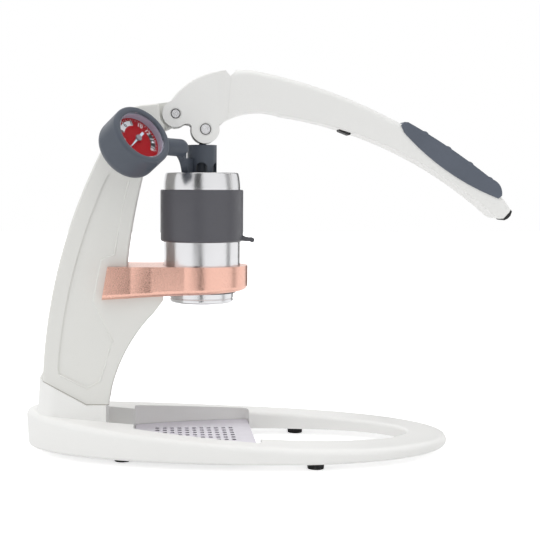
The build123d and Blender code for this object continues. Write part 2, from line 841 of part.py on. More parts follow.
web_plane = Plane(origin=web_root, x_dir=web_run, z_dir=web_run.cross(Vector(0, 0, 1)))

# Stem: a cup for the press foot over a cage with four arched windows, and the gauge's arm on a web
with BuildPart() as stem:
    with BuildSketch(level(stem_bottom)):
        Circle(stem_radius)
    extrude(amount=stem_top - stem_bottom)
    with BuildSketch(web_plane):
        with BuildLine():
            Polyline((web_run.length, arm_z), (web_rise, arm_z), (web_rise, web_low_top), (-3, web_low_top))
            Polyline((-3, web_low_top), (-3, web_bottom), (web_step - 2, web_bottom), (web_step, web_shelf))
            ThreePointArc((web_step, web_shelf), (13.3, 213.2), (web_run.length, arm_z - arm_radius))
            Line((web_run.length, arm_z - arm_radius), (web_run.length, arm_z))
        make_face()
    extrude(amount=web_thickness / 2, both=True)
    with BuildSketch(level(stem_bottom + stem_foot)):
        Circle(stem_radius - cage_wall)
        Circle(stem_core, mode=Mode.SUBTRACT)
    extrude(amount=window_top + 0.6 - stem_bottom - stem_foot, mode=Mode.SUBTRACT)
    with BuildSketch(level(well_floor)):
        Circle(well_radius)
    extrude(amount=stem_top, mode=Mode.SUBTRACT)
    for turn in range(window_count):
        bearing = math.radians(window_turn + turn * 360 / window_count)
        outward = Vector(math.cos(bearing), math.sin(bearing), 0)
        window_start = Vector(brew_axis_x, 0, 0) + outward * (stem_core + 0.8)
        with BuildSketch(Plane(origin=window_start, x_dir=(-outward.Y, outward.X, 0), z_dir=outward)):
            with Locations((0, window_bottom)):
                Rectangle(
                    2 * window_half_width,
                    window_top - window_half_width - window_bottom,
                    align=(Align.CENTER, Align.MIN),
                )
            with Locations((0, window_top - window_half_width)):
                Circle(window_half_width)
        extrude(amount=stem_radius, mode=Mode.SUBTRACT)
    with Locations(level(stem_bottom)):
        Cylinder(rod_thread_radius, stem_foot, align=upward, mode=Mode.SUBTRACT)
    with Locations(arm_plane):
        Sphere(arm_radius)
        Cylinder(arm_radius, gauge_arm_length, align=upward)
    with Locations(gauge_plane):
        Cylinder(
            gauge_radius,
            3 * gauge_depth,
            mode=Mode.SUBTRACT,
        )
    with Locations(arm_plane.offset(gauge_arm_length - gauge_radius - connector_depth)):
        Cylinder(connector_radius, connector_depth + gauge_wall, align=upward, mode=Mode.SUBTRACT)
write(stem, "stem")

# Gauge: a round case with a well for the dial and a closed back over the movement
well_inside = gauge_radius - gauge_wall
with BuildPart() as gauge_case:
    with Locations(gauge_plane):
        Cylinder(gauge_radius, gauge_depth, align=inward)
    rims = gauge_case.edges().filter_by(GeomType.CIRCLE).sort_by(Axis(gauge_front, gauge_way))
    fillet(rims[0], radius=gauge_back_round)
    fillet(gauge_case.faces().sort_by(Axis(gauge_front, gauge_way))[-1].edges(), radius=gauge_front_round)
    with Locations(gauge_plane):
        Cylinder(well_inside, gauge_well, align=inward, mode=Mode.SUBTRACT)
    with Locations(gauge_plane.offset(-gauge_well)):
        Cylinder(movement_radius + movement_gap, movement_depth, align=inward, mode=Mode.SUBTRACT)
    lip = gauge_case.faces().filter_by(GeomType.PLANE).sort_by(Axis(gauge_front, gauge_way))[-1]
    fillet(lip.inner_wires()[0].edges(), radius=gauge_lip_round)
    with Locations(arm_plane.offset(gauge_arm_length - gauge_radius)):
        Cylinder(connector_radius + running_fit, gauge_radius, align=upward, mode=Mode.SUBTRACT)
write(gauge_case, "gauge_case")

with BuildPart() as gauge_movement:
    with Locations(gauge_plane.offset(-gauge_well)):
        Cylinder(movement_radius, movement_depth, align=inward)
        Cylinder(pointer_axle_radius + slip_gap, movement_depth / 2, align=inward, mode=Mode.SUBTRACT)
write(gauge_movement, "gauge_movement")

with BuildPart() as gauge_connector:
    with Locations(arm_plane.offset(gauge_arm_length - gauge_radius - connector_depth)):
        Cylinder(connector_radius, connector_depth + gauge_radius - movement_radius + 1, align=upward)
    with Locations(gauge_plane):
        Cylinder(movement_radius, 3 * gauge_depth, mode=Mode.SUBTRACT)
write(gauge_connector, "gauge_connector")

with BuildPart() as gauge_dial:
    with BuildSketch(gauge_plane.offset(-gauge_well)):
        Circle(well_inside)
        Circle(pointer_axle_radius + slip_gap, mode=Mode.SUBTRACT)
    extrude(amount=dial_thickness)
write(gauge_dial, "gauge_dial")

with BuildPart() as gauge_inner_ring:
    with BuildSketch(gauge_plane.offset(dial_thickness - gauge_well)):
        Circle(well_inside)
        Circle(well_inside - inner_ring_wall, mode=Mode.SUBTRACT)
    extrude(amount=gauge_well - dial_thickness - glass_thickness - glass_setback)
write(gauge_inner_ring, "gauge_inner_ring")

with BuildPart() as gauge_glass:
    with BuildSketch(gauge_plane.offset(-glass_setback - glass_thickness)):
        Circle(well_inside)
    extrude(amount=glass_thickness)
write(gauge_glass, "gauge_glass")

pointer_plane = gauge_plane.offset(dial_thickness + pointer_lift - gauge_well)
with BuildPart() as gauge_pointer:
    with BuildSketch(pointer_plane):
        Polygon(
            (-pointer_tail, -pointer_width * 0.7),
            (0, -pointer_width / 2),
            (pointer_length, -pointer_width * 0.2),
            (pointer_length, pointer_width * 0.2),
            (0, pointer_width / 2),
            (-pointer_tail, pointer_width * 0.7),
            rotation=pointer_angle,
            align=None,
        )
        Circle(pointer_hub_radius * 0.8)
        Circle(pointer_axle_radius, mode=Mode.SUBTRACT)
    extrude(amount=pointer_thickness)
write(gauge_pointer, "gauge_pointer")

with BuildPart() as pointer_hub:
    with Locations(pointer_plane.offset(pointer_thickness)):
        Cylinder(pointer_hub_radius, pointer_hub_height, align=upward)
        Cylinder(
            pointer_axle_radius,
            pointer_thickness + pointer_lift + dial_thickness + movement_depth / 2 - 1,
            align=inward,
        )
    chamfer(pointer_hub.edges().sort_by(Axis(gauge_front, gauge_way))[-1], length=0.4)
write(pointer_hub, "pointer_hub")

# Raised bars across the handle's grip, rounded at their ends
with BuildPart() as grip_bars:
    with BuildSketch(side()):
        for x, z in bump_places:
            with Locations((x, z + bump_rise - bump_radius)):
                Circle(bump_radius)
    extrude(amount=bump_half_width, both=True)
    fillet(grip_bars.edges().filter_by(GeomType.CIRCLE), radius=bump_end_round)

# Handle grip: a rubber saddle over a core left on the lever
with BuildPart() as handle_grip:
    with BuildSketch(side()):
        with BuildLine():
            Polyline((146.4, 236.2), (144.6, 241.2), (146.8, 243.6), (149.6, 243.4))
            crest = ThreePointArc((149.6, 243.4), (179.6, 225.4), (211.8, 202.4))
            nose = ThreePointArc(crest @ 1, (219.2, 195.2), (219.6, 190.2))
            Line(nose @ 1, (217.0, 188.2))
            ThreePointArc((217.0, 188.2), (179.5, 207.6), (146.4, 236.2))
        make_face()
    extrude(amount=grip_half, both=True)
    grip_rims = handle_grip.edges().filter_by(lambda edge: abs(edge.center().Y) > grip_half - 0.1)
    fillet(grip_rims.sort_by_distance(crest.center() + Vector(brew_axis_x, 0, 0))[:2], radius=grip_edge_round)
    add(grip_bars.part)
    with BuildSketch(side()):
        with BuildLine():
            Line((149.0, 228.0), (149.0, 239.8))
            core_top = ThreePointArc((149.0, 239.8), (179.6, 221.2), (209.4, 198.8))
            Polyline(core_top @ 1, (215.0, 193.0), (215.0, 180.0), (149.0, 228.0))
        make_face()
    extrude(amount=grip_core_half, both=True, mode=Mode.SUBTRACT)
write(handle_grip, "handle_grip")

# Bumpers: a rubber bar under the handle and a pad over its end
under_bumper_place = (brew_axis_x + under_bumper_x, 0, under_bumper_z)
with BuildPart() as under_bumper:
    with BuildSketch(Plane(origin=under_bumper_place, x_dir=bumper_run, z_dir=(0, -1, 0))):
        RectangleRounded(bumper_length, bumper_drop + bumper_recess, 1.0)
    extrude(amount=bumper_half_width, both=True)
write(under_bumper, "under_bumper")

with BuildPart() as tip_bumper:
    with BuildSketch(side()):
        Polygon(
            (221.2, 173.6),
            (227.4, 180.2),
            (228.8, 178.5),
            (227.8, 175.6),
            (225.4, 173.2),
            (223.0, 172.1),
            align=None,
        )
    extrude(amount=tip_bumper_half_width, both=True)
    tip_rims = tip_bumper.edges().filter_by(lambda edge: abs(edge.center().Y) > tip_bumper_half_width - 0.1)
    fillet(tip_rims.group_by(Axis.X)[-1], radius=0.6)
write(tip_bumper, "tip_bumper")

# Lever: two cheeks round the pivots run into a long curved beam
with BuildPart() as lever:
    with BuildSketch(side()):
        with BuildLine():
            Polyline((12, 262), (18.5, 274.5), (24.4, 280.6), (34.1, 280.8))
            beam_crest = ThreePointArc((34.1, 280.8), (92.9, 265.3), (143.2, 243.4))
            under_grip = ThreePointArc(beam_crest @ 1, (180.2, 223.0), (213.6, 196.4))
            tip = ThreePointArc(under_grip @ 1, (221.4, 188.4), (227.4, 180.2))
            Polyline(tip @ 1, (221.2, 173.6), (218.0, 173.4), (214.0, 175.4))
            belly = ThreePointArc((214.0, 175.4), (137.2, 224.7), (58.4, 247.7))
            root = ThreePointArc(belly @ 1, (34.5, 250.1), by_front_pin(14.2, 6.2))
            Polyline(root @ 1, (12, 240), (12, 262))
        make_face()
    extrude(amount=beam_half, both=True)
    beam_rims = lever.edges().filter_by(lambda edge: abs(edge.center().Y) > beam_half - 0.1)
    crest_rims = beam_rims.filter_by(
        lambda edge: edge.center().Z > 255 and edge.center().X > brew_axis_x + 25
    )
    fillet(crest_rims, radius=beam_top_round)
    beam_rims = lever.edges().filter_by(lambda edge: abs(edge.center().Y) > beam_half - 0.1)
    belly_rims = beam_rims.filter_by(lambda edge: edge.length > 40 and edge.center().Z < 250)
    fillet(belly_rims.filter_by(GeomType.CIRCLE), radius=beam_bottom_round)
    with BuildSketch(side()) as head_plan:
        with BuildLine():
            brow = ThreePointArc(by_rear_pin(-3.9, 8.77), (-8.0, 272.2), (16.3, 279.7))
            Polyline(
                brow @ 1,
                (20.4, 275.4),
                (17.6, 247.0),
                by_front_pin(14.2, 6.2),
                by_front_pin(9.6, 3.4),
                by_front_pin(0, 0),
                by_front_pin(-10.0, 2.0),
                by_front_pin(-11.2, 3.6),
                by_front_pin(-14.0, 4.0),
                by_rear_pin(2.4, -8.4),
                by_rear_pin(0, 0),
                brow @ 0,
            )
        make_face()
        with Locations((rear_pin_x, rear_pin_z)):
            Circle(hub_radius)
        with Locations((front_pin_x, front_pin_z)):
            Circle(lobe_radius)
    extrude(amount=head_half, both=True)
    head_rims = lever.edges().filter_by(lambda edge: abs(edge.center().Y) > head_half - 0.1)
    fillet(head_rims.sort_by(SortBy.LENGTH)[-2:], radius=head_round)
    with BuildSketch(level(front_pin_z - lobe_radius - 5)):
        with BuildLine():
            Polyline(
                (facet_start, head_half + 0.01),
                (facet_end, beam_half),
                (facet_end + 5, beam_half),
                (facet_end + 5, head_half + 5),
                (facet_start, head_half + 5),
                close=True,
            )
        make_face()
        mirror(about=Plane.XZ)
    extrude(amount=100, mode=Mode.SUBTRACT)
    with BuildSketch(side()):
        with BuildLine():
            CenterArc((rear_pin_x, rear_pin_z), slot_radius_rear, 0, 360)
            CenterArc((front_pin_x, front_pin_z), slot_radius_front, 0, 360)
        make_hull()
    extrude(amount=cheek_inner, both=True, mode=Mode.SUBTRACT)
    with Locations(side(0)):
        with Locations((rear_pin_x, rear_pin_z)):
            Cylinder(rear_pin_radius + running_fit, 3 * head_half, mode=Mode.SUBTRACT)
        with Locations((front_pin_x, front_pin_z)):
            Cylinder(front_pin_radius, 3 * head_half, mode=Mode.SUBTRACT)
    for turn in (1, -1):
        with Locations(side(turn * (head_half - pin_ring_depth / 2))):
            with Locations((rear_pin_x, rear_pin_z)):
                Cylinder(rear_pin_radius + pin_ring, pin_ring_depth, mode=Mode.SUBTRACT)
            with Locations((front_pin_x, front_pin_z)):
                Cylinder(front_pin_radius + pin_ring, pin_ring_depth, mode=Mode.SUBTRACT)
    add(handle_grip.part, mode=Mode.SUBTRACT)
    add(under_bumper.part, mode=Mode.SUBTRACT)
write(lever, "lever")

with BuildPart() as front_pin:
    with Locations(side(0)):
        with Locations((front_pin_x, front_pin_z)):
            Cylinder(front_pin_radius, 2 * (head_half - pin_end_setback))
    chamfer(front_pin.edges(), length=0.4)
write(front_pin, "front_pin")

# Press foot: an eye on the front pin with a short shank and a pad in the stem's cup
foot_half = cheek_inner - eye_gap
pad_x = front_pin_x + pad_offset
pad_bottom = well_floor + pad_gap
with BuildPart() as press_foot:
    with BuildSketch(side()):
        with Locations((front_pin_x, front_pin_z)):
            Circle(eye_radius)
    extrude(amount=foot_half, both=True)
    with BuildSketch(level(pad_bottom + pad_height)):
        with Locations((pad_x, 0)):
            Circle(shank_radius)
    extrude(amount=front_pin_z - pad_bottom - pad_height)
    with BuildSketch(level(pad_bottom)):
        with Locations((pad_x, 0)):
            Circle(pad_radius)
    extrude(amount=pad_height)
    fillet(press_foot.edges().group_by(Axis.Z)[0], radius=1.2)
    with Locations(side(0)):
        with Locations((front_pin_x, front_pin_z)):
            Cylinder(front_pin_radius + bush_wall, 3 * foot_half, mode=Mode.SUBTRACT)
write(press_foot, "press_foot")

with BuildPart() as foot_bush:
    with Locations(side(0)):
        with Locations((front_pin_x, front_pin_z)):
            Cylinder(front_pin_radius + bush_wall, 2 * foot_half)
            Cylinder(front_pin_radius + running_fit, 2 * foot_half, mode=Mode.SUBTRACT)
write(foot_bush, "foot_bush")
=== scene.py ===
"""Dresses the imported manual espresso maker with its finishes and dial, in a plain light studio."""
import json
import logging
import math
from dataclasses import dataclass, field
from enum import Enum

import bmesh
import bpy
from mathutils import Matrix, Vector

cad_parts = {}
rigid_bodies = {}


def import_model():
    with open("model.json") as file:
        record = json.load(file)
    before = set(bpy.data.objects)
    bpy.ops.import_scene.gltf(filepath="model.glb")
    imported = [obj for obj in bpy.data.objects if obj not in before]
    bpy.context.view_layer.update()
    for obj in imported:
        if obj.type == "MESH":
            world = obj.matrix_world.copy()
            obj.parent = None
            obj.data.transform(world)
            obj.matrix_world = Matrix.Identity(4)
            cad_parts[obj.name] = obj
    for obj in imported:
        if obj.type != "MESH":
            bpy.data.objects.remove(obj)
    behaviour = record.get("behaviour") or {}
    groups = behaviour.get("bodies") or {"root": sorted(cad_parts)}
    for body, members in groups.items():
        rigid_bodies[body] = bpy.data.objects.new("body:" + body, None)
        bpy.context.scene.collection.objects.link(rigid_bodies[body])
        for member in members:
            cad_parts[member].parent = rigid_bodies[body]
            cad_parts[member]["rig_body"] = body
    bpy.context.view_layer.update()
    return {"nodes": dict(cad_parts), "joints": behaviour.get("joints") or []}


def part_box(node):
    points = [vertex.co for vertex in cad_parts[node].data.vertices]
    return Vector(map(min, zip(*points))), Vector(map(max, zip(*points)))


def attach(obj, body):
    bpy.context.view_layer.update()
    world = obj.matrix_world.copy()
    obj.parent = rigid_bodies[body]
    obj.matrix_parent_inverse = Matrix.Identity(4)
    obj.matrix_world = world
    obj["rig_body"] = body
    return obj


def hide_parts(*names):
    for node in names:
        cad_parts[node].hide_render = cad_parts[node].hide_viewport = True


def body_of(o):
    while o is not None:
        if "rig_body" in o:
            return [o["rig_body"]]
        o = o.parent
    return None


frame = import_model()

log = logging.getLogger("espresso_maker")

Colour = tuple[float, float, float]
Point = tuple[float, float, float]
Socket = bpy.types.NodeSocket

FULL_WHITE = (1.0, 1.0, 1.0, 1.0)


def joint(name: str) -> dict[str, object]:
    """Returns what the frame says of one of the machine's joints."""
    return next(row for row in frame["joints"] if row["name"] == name)


def upright_axis(node: str) -> Point:
    """Returns where the upright axis of a round node meets the table."""
    low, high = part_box(node)
    return ((low.x + high.x) / 2, 0.0, 0.0)


BREW_AXIS = upright_axis("brew_cylinder")
REAR_PIVOT = tuple(joint("lever_pivot")["pos_m"])
FRONT_PIVOT = tuple(joint("foot_pivot")["pos_m"])


class Lay(Enum):
    """Which way the fine marks of a finish run."""

    ALL_WAYS = "all ways"
    ALONG = "along the machine"
    ROUND_UPRIGHT = "round an upright axis"
    ROUND_PIVOT = "round a pivot across the machine"


class Pick(Enum):
    """Which of two values is taken."""

    LARGER = "MAXIMUM"
    SMALLER = "MINIMUM"


class Side(Enum):
    """A side of the post, by the direction of its outward normal along Y."""

    NEAR = -1
    FAR = 1


def srgb(red: int, green: int, blue: int) -> Colour:
    """Turns a colour read on a screen into the linear values that shaders take.

    Args:
        red: Red from 0 to 255.
        green: Green from 0 to 255.
        blue: Blue from 0 to 255.

    Returns:
        The linear colour.
    """

    def linear(level: int) -> float:
        """Returns one channel's linear value."""
        share = level / 255.0
        return share / 12.92 if share <= 0.04045 else ((share + 0.055) / 1.055) ** 2.4

    return (linear(red), linear(green), linear(blue))


@dataclass(frozen=True)
class Pattern:
    """A soft random pattern from 0 to 1, and the part of its range that a finish uses.

    scale counts its repeats a metre, detail its finer layers, and rough is their share.
    """

    scale: float
    detail: float = 2.0
    rough: float = 0.5
    start: float = 0.3
    end: float = 0.7


class Bench:
    """A node tree being laid out, with short calls for the nodes that the finishes use."""

    def __init__(
        self, owner: bpy.types.Material | bpy.types.World, output: str = "OutputMaterial"
    ) -> None:
        """Starts with an empty tree and an output.

        Args:
            owner: The material or world whose nodes are laid out.
            output: Kind of its output node.
        """
        owner.use_nodes = True
        self.tree = owner.node_tree
        self.tree.nodes.clear()
        self.output = self.add(output)

    def add(self, kind: str, **settings: object) -> bpy.types.Node:
        """Adds a node and sets its properties.

        Args:
            kind: Node type without its common beginning.
            settings: Properties of the node by name.

        Returns:
            The new node.
        """
        node = self.tree.nodes.new("ShaderNode" + kind)
        for name, value in settings.items():
            setattr(node, name, value)
        return node

    def join(self, source: Socket, target: Socket) -> None:
        """Links two sockets."""
        self.tree.links.new(source, target)

    def show(self, surface: Socket) -> None:
        """Links a shader to the output."""
        self.join(surface, self.output.inputs["Surface"])

    def place(self, move: Point = (0, 0, 0), stretch: Point = (1, 1, 1)) -> Socket:
        """Gives the object's own coordinates, moved and stretched.

        Args:
            move: Added to the coordinates before they are stretched.
            stretch: Scale along each axis.

        Returns:
            The vector socket.
        """
        shift = self.add("VectorMath", operation="ADD")
        self.join(self.add("TexCoord").outputs["Object"], shift.inputs[0])
        shift.inputs[1].default_value = move
        scale = self.add("VectorMath", operation="MULTIPLY")
        self.join(shift.outputs[0], scale.inputs[0])
        scale.inputs[1].default_value = stretch
        return scale.outputs[0]

    def axes(self, move: Point = (0, 0, 0)) -> bpy.types.Node:
        """Gives the object's own coordinates apart, as the X, Y and Z outputs of a node.

        Args:
            move: Added to the coordinates.

        Returns:
            The node.
        """
        node = self.add("SeparateXYZ")
        self.join(self.place(move), node.inputs[0])
        return node

    def noise(self, pattern: Pattern, at: Socket | None = None) -> Socket:
        """Gives a soft random pattern from 0 to 1.

        Args:
            pattern: Its scale and layers.
            at: Vector that it is read at, the object's own coordinates when left out.

        Returns:
            The pattern's value socket.
        """
        node = self.add("TexNoise")
        node.inputs["Scale"].default_value = pattern.scale
        node.inputs["Detail"].default_value = pattern.detail
        node.inputs["Roughness"].default_value = pattern.rough
        self.join(at if at is not None else self.place(), node.inputs["Vector"])
        return node.outputs["Fac"]

    def remap(self, value: Socket, low: float, high: float, start: float, end: float) -> Socket:
        """Stretches part of a value's range onto two levels.

        Args:
            value: The value.
            low: Level given at start.
            high: Level given at end.
            start: Value where the change begins.
            end: Value where the change ends.

        Returns:
            The level socket.
        """
        node = self.add("MapRange")
        self.join(value, node.inputs["Value"])
        node.inputs["From Min"].default_value = start
        node.inputs["From Max"].default_value = end
        node.inputs["To Min"].default_value = low
        node.inputs["To Max"].default_value = high
        return node.outputs["Result"]

    def levels(self, pattern: Pattern, low: float = 0.0, high: float = 1.0) -> Socket:
        """Gives a pattern stretched onto two levels."""
        return self.remap(self.noise(pattern), low, high, pattern.start, pattern.end)

    def blend(self, share: Socket, first: Colour | Socket, second: Colour) -> Socket:
        """Mixes two colours by a pattern.

        Args:
            share: 0 for the first colour and 1 for the second.
            first: Linear colour, or the socket that gives one.
            second: Linear colour.

        Returns:
            The colour socket.
        """
        node = self.add("Mix", data_type="RGBA")
        self.join(share, node.inputs["Factor"])
        if isinstance(first, Socket):
            self.join(first, node.inputs["A"])
        else:
            node.inputs["A"].default_value = (*first, 1.0)
        node.inputs["B"].default_value = (*second, 1.0)
        return node.outputs["Result"]

    def sum(self, first: Socket, second: Socket, share: float = 1.0) -> Socket:
        """Adds a second value, times a share, to a first.

        Args:
            first: Value taken whole.
            second: Value taken times share.
            share: Weight of the second value.

        Returns:
            The value socket.
        """
        node = self.add("Math", operation="MULTIPLY_ADD")
        self.join(second, node.inputs[0])
        node.inputs[1].default_value = share
        self.join(first, node.inputs[2])
        return node.outputs[0]

    def pick(self, which: Pick, first: Socket, second: Socket) -> Socket:
        """Gives the larger or the smaller of two values.

        Args:
            which: The one to take.
            first: A value.
            second: Another value.

        Returns:
            The value socket.
        """
        node = self.add("Math", operation=which.value)
        self.join(first, node.inputs[0])
        self.join(second, node.inputs[1])
        return node.outputs[0]

    def radius(self, centre: Point, stretch: Point) -> Socket:
        """Gives the distance from a line through a point.

        Args:
            centre: Point that the line passes.
            stretch: 1 for the axes that count and 0 for the line's own.

        Returns:
            The distance in metres.
        """
        away = self.place(move=tuple(-value for value in centre), stretch=stretch)
        node = self.add("VectorMath", operation="LENGTH")
        self.join(away, node.inputs[0])
        return node.outputs["Value"]

    def row(self, value: Socket, scale: float, detail: float = 3.0) -> Socket:
        """Gives a fine random pattern that changes with one value only, as turning marks do.

        Args:
            value: Distance along which the marks follow each other.
            scale: Marks a metre.
            detail: Number of finer layers.

        Returns:
            The pattern's value socket.
        """
        node = self.add("TexNoise", noise_dimensions="1D")
        node.inputs["Scale"].default_value = scale
        node.inputs["Detail"].default_value = detail
        self.join(value, node.inputs["W"])
        return node.outputs["Fac"]

    def relief(self, height: Socket, depth: float) -> Socket:
        """Turns a pattern into bumps of a real depth.

        Args:
            height: The pattern from 0 to 1.
            depth: Depth in metres.

        Returns:
            The normal socket.
        """
        node = self.add("Bump")
        node.inputs["Strength"].default_value = 1.0
        node.inputs["Distance"].default_value = depth
        self.join(height, node.inputs["Height"])
        return node.outputs["Normal"]

    def layer(self, share: Socket, under: Socket, over: Socket) -> Socket:
        """Mixes two shaders.

        Args:
            share: 0 for the one under and 1 for the one over.
            under: A shader.
            over: Another shader.

        Returns:
            The shader socket.
        """
        node = self.add("MixShader")
        for source, target in zip((share, under, over), node.inputs):
            self.join(source, target)
        return node.outputs[0]


@dataclass(frozen=True)
class Finish:
    """A surface finish: its colour, gloss, fine relief and light wear."""

    name: str
    colour: Colour
    roughness: float = 0.45
    metallic: float = 0.0
    specular: float = 0.5
    coat: float = 0.0
    coat_roughness: float = 0.12
    mottle: float = 0.03
    mottle_scale: float = 45.0
    grain_depth: float = 0.00002
    grain_scale: float = 1100.0
    finer_grain: float = 3.1
    finer_share: float = 0.35
    rub: float = 0.06
    rubbed: Pattern = Pattern(28.0, 5.0, 0.65, start=0.35, end=0.65)

    def darker(self, share: float) -> Colour:
        """Returns the colour, darker by a share, or lighter where the share is below 0."""
        return tuple(min(1.0, channel * (1 - share)) for channel in self.colour)

    def height(self, bench: Bench) -> Socket:
        """Gives the relief of the skin, from 0 to 1.

        Args:
            bench: The material's nodes.

        Returns:
            The height socket.
        """
        coarse = bench.noise(Pattern(self.grain_scale))
        fine = bench.noise(Pattern(self.grain_scale * self.finer_grain, detail=1.0))
        return bench.sum(coarse, fine, self.finer_share)

    def tint(self, bench: Bench) -> Socket:
        """Gives the colour with its slight variation."""
        share = bench.levels(Pattern(self.mottle_scale, 4.0, 0.6))
        return bench.blend(share, self.darker(self.mottle), self.darker(-self.mottle))

    def gloss(self, bench: Bench) -> Socket:
        """Gives the roughness, with patches rubbed smoother by handling."""
        return bench.levels(self.rubbed, self.roughness - self.rub, self.roughness + self.rub)

    def material(self) -> bpy.types.Material:
        """Lays out the finish as a material.

        Returns:
            The material.
        """
        material = bpy.data.materials.new(self.name)
        bench = Bench(material)
        shader = bench.add("BsdfPrincipled")
        shader.inputs["Metallic"].default_value = self.metallic
        shader.inputs["Specular IOR Level"].default_value = self.specular
        shader.inputs["Coat Weight"].default_value = self.coat
        shader.inputs["Coat Roughness"].default_value = self.coat_roughness
        bench.join(self.tint(bench), shader.inputs["Base Color"])
        bench.join(self.gloss(bench), shader.inputs["Roughness"])
        bench.join(bench.relief(self.height(bench), self.grain_depth), shader.inputs["Normal"])
        bench.show(shader.outputs[0])
        return material


@dataclass(frozen=True)
class PowderCoat(Finish):
    """Thick white powder paint: a gentle orange peel, a few specks and faint grime."""

    peel: Pattern = Pattern(420.0, 1.0)
    tooth: Pattern = Pattern(2600.0, 1.0)
    tooth_share: float = 0.22
    grime: Pattern = Pattern(16.0, 6.0, 0.62, start=0.25, end=0.75)
    specks: Pattern = Pattern(1900.0, 0.0, start=0.76, end=0.80)
    speck_depth: float = 0.05

    def height(self, bench: Bench) -> Socket:
        """Gives the orange peel with its finer tooth."""
        return bench.sum(bench.noise(self.peel), bench.noise(self.tooth), self.tooth_share)

    def tint(self, bench: Bench) -> Socket:
        """Gives the paint with soft grime and fine specks."""
        grimy = bench.blend(bench.levels(self.grime), self.darker(self.mottle), self.colour)
        return bench.blend(bench.levels(self.specks), grimy, self.darker(self.speck_depth))


@dataclass(frozen=True)
class SocketedCoat(PowderCoat):
    """White powder paint of a casting that stands in a socket, with painted shadow of the gap along
    the joint.

    The socket's edge is flat up to break_place along the machine, and rises behind it.
    """

    joint_height: float = 0.0386
    break_place: float = -0.1342
    joint_slope: float = 0.5494
    # Width and colour of the painted shadow of the gap between the post and its socket.
    line_width: float = 0.0007
    line_colour: Colour = (0.16, 0.13, 0.10)

    def tint(self, bench: Bench) -> Socket:
        """Gives the paint, with painted shadow of the gap next to the socket's flat and slanting
        edges.

        Args:
            bench: The material's nodes.

        Returns:
            The colour socket.
        """
        above = bench.axes(move=(-self.break_place, 0, -self.joint_height))
        slanting = bench.sum(above.outputs["Z"], above.outputs["X"], self.joint_slope)
        nearer = bench.pick(Pick.SMALLER, above.outputs["Z"], slanting)
        # Painted shadow: the colour goes dark within a narrow width of the socket's edge, where the
        # gap lies.
        share = bench.remap(nearer, 1.0, 0.0, 0.0, self.line_width)
        return bench.blend(share, super().tint(bench), self.line_colour)


@dataclass(frozen=True)
class WorkedMetal(Finish):
    """Bare metal with fine marks left by turning, brushing or rolling.

    edge is the radius where the painted shade of the gap round a pin begins, or 0 where there is none.
    """

    rubbed: Pattern = Pattern(35.0, 5.0, 0.7, start=0.35, end=0.65)
    lay: Lay = Lay.ALL_WAYS
    centre: Point = BREW_AXIS
    marks: float = 4200.0
    brushed_stretch: Point = (0.02, 1, 1)
    radial_share: float = 0.6
    gloss_share: float = 0.08
    edge: float = 0.0
    # Blur and colour of the painted shade of the gap round a pin.
    edge_blur: float = 0.0003
    edge_colour: Colour = (0.03, 0.03, 0.03)

    def height(self, bench: Bench) -> Socket:
        """Gives the marks as relief, in the way that they run.

        Args:
            bench: The material's nodes.

        Returns:
            The height socket.
        """
        if self.lay is Lay.ROUND_PIVOT:
            return bench.row(bench.radius(self.centre, (1, 0, 1)), self.marks)
        if self.lay is Lay.ROUND_UPRIGHT:
            by_height = bench.row(bench.axes().outputs["Z"], self.marks)
            by_radius = bench.row(bench.radius(self.centre, (1, 1, 0)), self.marks)
            return bench.sum(by_height, by_radius, self.radial_share)
        stretch = self.brushed_stretch if self.lay is Lay.ALONG else (1, 1, 1)
        return bench.noise(Pattern(self.marks, 2.0, 0.6), bench.place(stretch=stretch))

    def tint(self, bench: Bench) -> Socket:
        """Gives the colour, with painted shade of the gap round a pin.

        Args:
            bench: The material's nodes.

        Returns:
            The colour socket.
        """
        plain = super().tint(bench)
        if self.edge == 0.0:
            return plain
        # Painted shade: the pin's face goes dark from edge outwards, where the gap round it lies in
        # shadow.
        away = bench.radius(self.centre, (1, 0, 1))
        share = bench.remap(away, 0.0, 1.0, self.edge - self.edge_blur, self.edge)
        return bench.blend(share, plain, self.edge_colour)

    def gloss(self, bench: Bench) -> Socket:
        """Gives the roughness, rougher in the marks and in patches of handling."""
        return bench.sum(super().gloss(bench), self.height(bench), self.gloss_share)


@dataclass(frozen=True)
class SparklingCoat(Finish):
    """Metal paint with fine flakes that glint and scatter its satin sheen."""

    rubbed: Pattern = Pattern(2100.0, 2.0, 0.7, start=0.4, end=0.6)
    flakes: Pattern = Pattern(2400.0, 2.0, 0.8, start=0.42, end=0.60)
    flake_depth: float = 0.10

    def tint(self, bench: Bench) -> Socket:
        """Gives the colour with its flakes."""
        shades = (self.darker(self.flake_depth), self.darker(-self.flake_depth))
        return bench.blend(bench.levels(self.flakes), *shades)


@dataclass(frozen=True)
class ClearGlass:
    """A clear flat glass that lets the light in to what lies behind it."""

    name: str
    colour: Colour = (0.96, 0.98, 1.0)
    bending: float = 1.12
    smears: Pattern = Pattern(60.0, 5.0, 0.6)
    smear_roughness: float = 0.03
    ripples: Pattern = Pattern(140.0)
    ripple_depth: float = 0.000004

    def material(self) -> bpy.types.Material:
        """Lays out the glass as a material.

        Returns:
            The material.
        """
        material = bpy.data.materials.new(self.name)
        bench = Bench(material)
        glass = bench.add("BsdfPrincipled")
        glass.inputs["Base Color"].default_value = (*self.colour, 1.0)
        glass.inputs["Transmission Weight"].default_value = 1.0
        glass.inputs["IOR"].default_value = self.bending
        bench.join(bench.levels(self.smears, 0.0, self.smear_roughness), glass.inputs["Roughness"])
        bench.join(bench.relief(bench.noise(self.ripples), self.ripple_depth), glass.inputs["Normal"])
        through = bench.add("BsdfTransparent")
        light = bench.add("LightPath").outputs
        lets_in = bench.pick(Pick.LARGER, light["Is Shadow Ray"], light["Is Diffuse Ray"])
        bench.show(bench.layer(lets_in, glass.outputs[0], through.outputs[0]))
        return material


